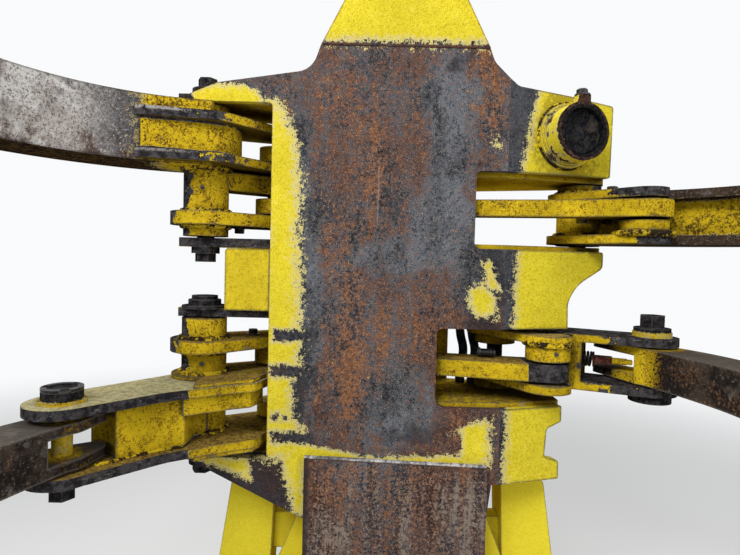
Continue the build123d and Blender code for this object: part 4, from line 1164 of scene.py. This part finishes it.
class HEAD_OT_ring_welds(bpy.types.Operator):
    """Adds weld beads round the hubs, the bosses and the bumper"""
    bl_idname = "head.ring_welds"
    bl_label = "Round welds"

    def execute(self, context):
        hub_ring = weld_ring("hub_ring", 0.069, 0.0090)
        boss_ring = weld_ring("boss_ring", 0.077, 0.0085)
        foot_ring = weld_ring("foot_ring", 0.098, 0.0050)
        bumper_foot = (BUMPER[0], BUMPER[1] - 0.0015, BUMPER[2])
        for name, model, place, turn, body in (
            ("weld_ul_beam", hub_ring, (*LEFT_HINGE, 1.861), (0, 0, 0), "arm_upper_left"),
            ("weld_ul_crank_top", hub_ring, (*LEFT_HINGE, 1.731), (0, 0, 1), "arm_upper_left"),
            ("weld_ul_crank_under", hub_ring, (*LEFT_HINGE, 1.689), (0, 0, 2), "arm_upper_left"),
            ("weld_ll_crank_top", hub_ring, (*LEFT_HINGE, 1.346), (0, 0, 3), "arm_lower_left"),
            ("weld_ll_crank_under", hub_ring, (*LEFT_HINGE, 1.307), (0, 0, 4), "arm_lower_left"),
            ("weld_ll_plate", hub_ring, (*LEFT_HINGE, 1.241), (0, 0, 5), "arm_lower_left"),
            ("weld_ll_low_plate", hub_ring, (*LEFT_HINGE, 1.063), (0, 0, 6), "arm_lower_left"),
            ("weld_ur_flange", hub_ring, (*UPPER_RIGHT_HINGE, 1.823), (0, 0, 1), "arm_upper_right"),
            ("weld_ur_low_flange", hub_ring, (*UPPER_RIGHT_HINGE, 1.690), (0, 0, 2), "arm_upper_right"),
            ("weld_ur_boss", boss_ring, (0.699, -0.134, 1.6905), (0, 0, 0), "arm_upper_right"),
            ("weld_lr_plate", hub_ring, (*LOWER_RIGHT_HINGE, 1.386), (0, 0, 1), "arm_lower_right"),
            ("weld_lr_boss", hub_ring, (0.458, -0.062, 1.359), (0, 0, 2), "arm_lower_right"),
            ("weld_bumper", foot_ring, bumper_foot, pointing(SHOULDER_OUT), "frame"),
        ):
            fitted(copied(model, name, place, turn), dirty_weld(), body)
        for model in (hub_ring, boss_ring, foot_ring):
            bpy.data.objects.remove(model)
        return {"FINISHED"}


class HEAD_OT_straight_welds(bpy.types.Operator):
    """Adds weld beads along the plates, the lower left box and the foot of the mast"""
    bl_idname = "head.straight_welds"
    bl_label = "Straight welds"

    def execute(self, context):
        pale, dirty, dark = pale_weld(), dirty_weld(), dark_weld()
        box_edge = [(-0.600, -0.2125), (-0.642, -0.2365), (-0.695, -0.284), (-0.743, -0.335),
                    (-0.770, -0.362)]
        for name, points, thick, finish, slot, body in (
            ("weld_wear_plate", [(-0.272, -0.107, 1.004), (0.271, -0.107, 0.987)], 0.0062, pale,
             "bare_steel", "frame"),
            ("weld_neck", [(-0.243, -0.100, 2.2255), (0.243, -0.100, 2.2255)], 0.0040, dark,
             "worn_plate", "frame"),
            ("weld_ll_box_top", [(x, y, 1.201) for x, y in box_edge], 0.0050, dirty,
             "yellow_paint", "arm_lower_left"),
            ("weld_ll_box_low", [(x, y, 1.064) for x, y in box_edge], 0.0050, dirty,
             "yellow_paint", "arm_lower_left"),
        ):
            fitted(weld_run(name, points, thick), finish, body)
        for name, start, end in (
            ("weld_leg_left", (-0.612, 0.0), (-0.262, 0.0)),
            ("weld_leg_right", (0.262, 0.0), (0.582, 0.0)),
            ("weld_mast_left", (-0.258, 0.008), (-0.258, 0.260)),
            ("weld_mast_right", (0.258, 0.008), (0.258, 0.260)),
            ("weld_spine_foot", (-0.280, 0.289), (0.280, 0.289)),
        ):
            bead = weld_run(name, [(*start, DECK_WELD_HEIGHT), (*end, DECK_WELD_HEIGHT)], 0.0065)
            fitted(bead, dirty, "frame")
        return {"FINISHED"}


class HEAD_OT_bumper_plug(bpy.types.Operator):
    """Adds the crumbled rubber plug of the bumper"""
    bl_idname = "head.bumper_plug"
    bl_label = "Bumper plug"

    def execute(self, context):
        plug = stepped("bumper_plug", 48, 0.0655, 0.068, [(0.006, -0.004), (0.012, -0.003), (0.018, -0.002)])
        modify(plug, "REMESH", mode="VOXEL", voxel_size=0.0024)
        for size, depth in ((0.016, 0.0075), (0.006, 0.0040)):
            crumbs = bpy.data.textures.new("crumbs", "CLOUDS")
            crumbs.noise_scale = size
            modify(plug, "DISPLACE", texture=crumbs, strength=-depth, mid_level=0.35)
        put(plug, Vector(BUMPER) + SHOULDER_OUT * 0.001, pointing(SHOULDER_OUT))
        fitted(plug, stop_rubber(), "frame")
        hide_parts("bumper_rubber")
        return {"FINISHED"}


class HEAD_OT_slotted_ring(bpy.types.Operator):
    """Adds the slotted ring on the left tip pin"""
    bl_idname = "head.slotted_ring"
    bl_label = "Slotted ring"

    def execute(self, context):
        ring = stepped("slotted_ring", 48, 0.0482, 0.0090, [(0.0130, 0), (0, -0.0085)])
        pick_faces(ring, lambda centre, normal: normal.z > 0.9 and math.hypot(centre.x, centre.y) > 0.036
                   and math.degrees(math.atan2(centre.y, centre.x)) % 120 < 31)
        extrude(z=-0.0055)
        bpy.ops.object.mode_set(mode="OBJECT")
        put(ring, (*LEFT_TIP, 1.2575), (0, 0, 0.9))
        fitted(ring, bolt_steel(), "arm_lower_left")
        return {"FINISHED"}


class HEAD_OT_spring_stop(bpy.types.Operator):
    """Adds the spring, cup, clevis and bar in the lower right arm's window"""
    bl_idname = "head.spring_stop"
    bl_label = "Spring stop"

    def execute(self, context):
        tip = Vector((*RIGHT_TIP, 1.2990))
        back = Vector((-math.cos(STOP_TURN), math.sin(STOP_TURN), 0))

        bpy.ops.mesh.primitive_circle_add(vertices=10, radius=0.0042, location=(0.0205, 0, 0),
                                          rotation=(math.pi / 2, 0, 0))
        coil = into_place(bpy.context.object)
        coil.name = "stop_spring"
        modify(coil, "SCREW", axis="Z", steps=28, render_steps=28, iterations=4, screw_offset=0.0100,
               use_smooth_shade=True)
        bpy.ops.object.mode_set(mode="EDIT")
        bpy.ops.mesh.select_all(action="SELECT")
        bpy.ops.mesh.remove_doubles(threshold=0.00005)
        bpy.ops.mesh.select_mode(type="VERT")
        bpy.ops.mesh.select_all(action="DESELECT")
        bpy.ops.mesh.select_non_manifold()
        bpy.ops.mesh.edge_face_add()
        bpy.ops.mesh.select_all(action="SELECT")
        bpy.ops.mesh.normals_make_consistent(inside=False)
        bpy.ops.object.mode_set(mode="OBJECT")
        put(coil, tip + back * 0.166, pointing(back))
        fitted(coil, spring_steel(), "arm_lower_right")

        cup = stepped("spring_cup", 28, 0.0240, 0.0040, [(0.0100, 0.0060), (0.004, 0.004)])
        put(cup, tip + back * 0.164, pointing(-back))
        fitted(cup, clevis_iron(), "arm_lower_right")

        prongs = []
        for side in (-1, 1):
            bpy.ops.mesh.primitive_cube_add(size=1, location=(0, side * 0.0150, 0.025),
                                            scale=(0.024, 0.0065, 0.050))
            prong = into_place(bpy.context.object)
            pick_faces(prong, lambda centre, normal: True)
            bpy.ops.mesh.bevel(offset=0.0025, segments=2, affect="EDGES")
            bpy.ops.object.mode_set(mode="OBJECT")
            prongs.append(prong)
        quarter_turn = Euler((0, 0, math.pi / 2)).to_quaternion()
        clevis = joined(prongs, "stop_clevis")
        put(clevis, tip + back * 0.158, ((-back).to_track_quat("Z", "Y") @ quarter_turn).to_euler())
        fitted(clevis, clevis_iron(), "arm_lower_right")

        bar = stepped("stop_bar", 16, 0.0105, 0.070, [(0.002, 0.002), (0, 0.012), (0.002, 0.002)])
        put(bar, tip + back * 0.136, pointing(-back))
        fitted(bar, bar_paint(), "arm_lower_right")
        return {"FINISHED"}


class HEAD_OT_window_hoses(bpy.types.Operator):
    """Adds the two hoses behind the lower right window"""
    bl_idname = "head.window_hoses"
    bl_label = "Window hoses"

    def execute(self, context):
        nut = hose_nut()
        ends = []
        for index, (x, y) in enumerate(((0.238, 0.205), (0.276, 0.188))):
            route = [(x, y, 1.176), (x, y, 1.23), (x + 0.012, y - 0.006, 1.29), (x - 0.006, y, 1.35),
                     (x - 0.006, y, 1.400)]
            fitted(bent_tube("window_hose_%d" % index, route, 0.0155), hose_rubber(), "frame")
            ends.append(copied(nut, "nut", (x, y, 1.172)))
            ends.append(copied(nut, "nut", (x - 0.006, y, 1.405), (math.pi, 0, 0)))
        fitted(joined(ends, "window_hose_nuts"), bolt_steel(), "frame")
        bpy.data.objects.remove(nut)
        return {"FINISHED"}


class HEAD_OT_valve_block(bpy.types.Operator):
    """Adds the valve block on the back with its pipes, hoses and clamps"""
    bl_idname = "head.valve_block"
    bl_label = "Valve block"

    def execute(self, context):
        rubber, steel, iron = hose_rubber(), bolt_steel(), motor_iron()
        block = panelled("valve_block", (0, 0.318, 0.86), (0.37, 0.060, 0.11), 0.014, 0.012)
        modify(block, "BEVEL", width=0.003, segments=2)
        fitted(block, iron, "frame")
        nut = hose_nut()
        ends = []
        for index, x in enumerate((-0.155, -0.115, 0.115, 0.155)):
            top = 1.56 + 0.03 * (index % 2)
            route = [(x, 0.318, 0.918), (x, 0.318, 1.00), (x, 0.312, 1.08), (x, 0.306, 1.20),
                     (x, 0.306, 1.40), (x, 0.306, top - 0.05), (x, 0.306, top), (x, 0.300, top + 0.012),
                     (x, 0.284, top + 0.014)]
            fitted(bent_tube("back_pipe_%d" % index, route, 0.0080), steel, "frame")
            ends.append(copied(nut, "nut", (x, 0.318, 0.913)))
            route = [(x, 0.318, 0.802), (x, 0.318, 0.74), (x, 0.330, 0.70), (x * 0.9, 0.318, 0.66),
                     (x * 0.9, 0.284, 0.655)]
            fitted(bent_tube("back_hose_%d" % index, route, 0.0120), rubber, "frame")
            ends.append(copied(nut, "nut", (x, 0.318, 0.807), (math.pi, 0, 0)))
        fitted(joined(ends, "block_nuts"), steel, "frame")
        bpy.data.objects.remove(nut)
        clamps = [panelled("clamp", (x, 0.304, z), (0.085, 0.032, 0.030), 0.005, 0.003)
                  for x in (-0.135, 0.135) for z in (1.06, 1.24, 1.46)]
        fitted(joined(clamps, "pipe_clamps"), iron, "frame")
        return {"FINISHED"}


class HEAD_OT_back_cover(bpy.types.Operator):
    """Adds the cover plate high on the back"""
    bl_idname = "head.back_cover"
    bl_label = "Back cover"

    def execute(self, context):
        cover = panelled("back_cover", (-0.04, 0.291, 1.85), (0.40, 0.007, 0.40), 0.060, 0.005, 0.97)
        fitted(cover, rib_paint(), "frame")
        return {"FINISHED"}


class HEAD_OT_barrel_pipes(bpy.types.Operator):
    """Adds the ports and the pipe on each cylinder's barrel"""
    bl_idname = "head.barrel_pipes"
    bl_label = "Barrel pipes"

    def execute(self, context):
        steel = bolt_steel()
        port = stepped("port", 20, 0.0170, 0.014, [(0.004, 0), (0, 0.010), (0.002, 0.002)])
        for tag in ("upper", "lower"):
            anchor = Vector(PIVOTS[tag + "_barrel_swing"])
            rod_eye = Vector((*PIVOTS[tag + "_link_eye"][:2], anchor.z))
            along = (rod_eye - anchor).normalized()
            side = Vector((along.y, -along.x, 0))
            first, last = anchor + along * 0.095, anchor + along * 0.470
            ports = [copied(port, "port", place + side * 0.041, pointing(side)) for place in (first, last)]
            fitted(joined(ports, "barrel_ports_" + tag), steel, "cylinder_barrel_" + tag)
            route = [first + side * 0.060, first + side * 0.072, first + along * 0.03 + side * 0.074,
                     first + along * 0.12 + side * 0.060, last - along * 0.12 + side * 0.060,
                     last - along * 0.03 + side * 0.074, last + side * 0.072, last + side * 0.060]
            pipe = bent_tube("barrel_pipe_" + tag, route, 0.0060)
            fitted(pipe, steel, "cylinder_barrel_" + tag)
        bpy.data.objects.remove(port)
        return {"FINISHED"}


class HEAD_OT_link_fitting(bpy.types.Operator):
    """Adds the sleeve fitting on top of the lower link"""
    bl_idname = "head.link_fitting"
    bl_label = "Link fitting"

    def execute(self, context):
        body = [(0.003, 0), (0, 0.034), (0.001, 0.010), (0.003, 0.002)]
        sleeve = stepped("link_fitting", 24, 0.0150, 0.008, body)
        put(sleeve, (0.256, -0.006, 1.3160), (0, math.pi / 2, -0.25))
        fitted(sleeve, bolt_steel(), "sync_link_lower")
        return {"FINISHED"}


class HEAD_OT_stage(bpy.types.Operator):
    """Adds the floor, the soft lights and the camera"""
    bl_idname = "head.stage"
    bl_label = "Stage"

    def execute(self, context):
        settings = context.scene.felling_head
        bpy.ops.object.select_all(action="DESELECT")
        bpy.ops.mesh.primitive_plane_add(size=60, location=(0, 0, 0))
        floor = context.object
        floor.name = "floor"
        floor.data.materials.append(floor_finish(tuple(settings.floor_colour)))

        world = bpy.data.worlds.new("Studio")
        context.scene.world = world
        world.use_nodes = True
        sky = Nodes(world.node_tree)
        soft = sky.make("ShaderNodeBackground", {}, {"Color": (0.95, 0.97, 1.0), "Strength": 0.44})
        backdrop = sky.make("ShaderNodeBackground", {}, {"Color": BACKDROP, "Strength": 1.0})
        both = sky.make("ShaderNodeMixShader", {}, {0: sky.seen(), 1: soft, 2: backdrop})
        sky.make("ShaderNodeOutputWorld", {}, {"Surface": both}, None)

        for name, place, aim, size, power in (
            ("key", (-1.8, -3.8, 4.9), (0, 0, 1.6), 2.0, settings.key_power),
            ("fill", (3.6, -3.2, 3.2), (0, 0, 1.4), 2.6, 60),
            ("top", (0.5, 1.5, 5.2), (0, 0, 1.6), 3.0, 120),
        ):
            bpy.ops.object.light_add(type="AREA", location=place)
            lamp = context.object
            lamp.name = name
            lamp.data.size = size
            lamp.data.energy = power
            lamp.rotation_euler = (Vector(aim) - Vector(place)).to_track_quat("-Z", "Y").to_euler()

        bpy.ops.object.camera_add(location=(*CAMERA_PLACE, settings.eye_height))
        camera = context.object
        camera.data.sensor_width = 36
        camera.data.lens = settings.lens
        camera.data.clip_start = 0.05
        camera.rotation_euler = (math.pi / 2 - CAMERA_DROP, 0, 0)
        camera.rotation_euler.rotate_axis("Z", CAMERA_ROLL)
        context.scene.camera = camera
        context.scene.view_settings.view_transform = "Standard"
        return {"FINISHED"}


class HEAD_PT_panel(bpy.types.Panel):
    bl_idname = "HEAD_PT_panel"
    bl_label = "Felling Head"
    bl_space_type = "VIEW_3D"
    bl_region_type = "UI"
    bl_category = "Felling Head"

    def draw(self, context):
        for name in HeadSettings.__annotations__:
            self.layout.prop(context.scene.felling_head, name)
        for operator in OPERATORS:
            self.layout.operator(operator.bl_idname)


OPERATORS = (
    HEAD_OT_finish_nodes, HEAD_OT_bolts, HEAD_OT_ring_welds, HEAD_OT_straight_welds, HEAD_OT_bumper_plug,
    HEAD_OT_slotted_ring, HEAD_OT_spring_stop, HEAD_OT_window_hoses, HEAD_OT_valve_block, HEAD_OT_back_cover,
    HEAD_OT_barrel_pipes, HEAD_OT_link_fitting, HEAD_OT_stage,
)
CLASSES = (HeadSettings, *OPERATORS, HEAD_PT_panel)


def register():
    for cls in CLASSES:
        bpy.utils.register_class(cls)
    bpy.types.Scene.felling_head = bpy.props.PointerProperty(type=HeadSettings)


def unregister():
    del bpy.types.Scene.felling_head
    for cls in reversed(CLASSES):
        bpy.utils.unregister_class(cls)


def main():
    register()
    bpy.ops.head.finish_nodes()
    bpy.ops.head.bolts()
    bpy.ops.head.ring_welds()
    bpy.ops.head.straight_welds()
    bpy.ops.head.bumper_plug()
    bpy.ops.head.slotted_ring()
    bpy.ops.head.spring_stop()
    bpy.ops.head.window_hoses()
    bpy.ops.head.valve_block()
    bpy.ops.head.back_cover()
    bpy.ops.head.barrel_pipes()
    bpy.ops.head.link_fitting()
    bpy.ops.head.stage()


if __name__ == "__main__":
    main()
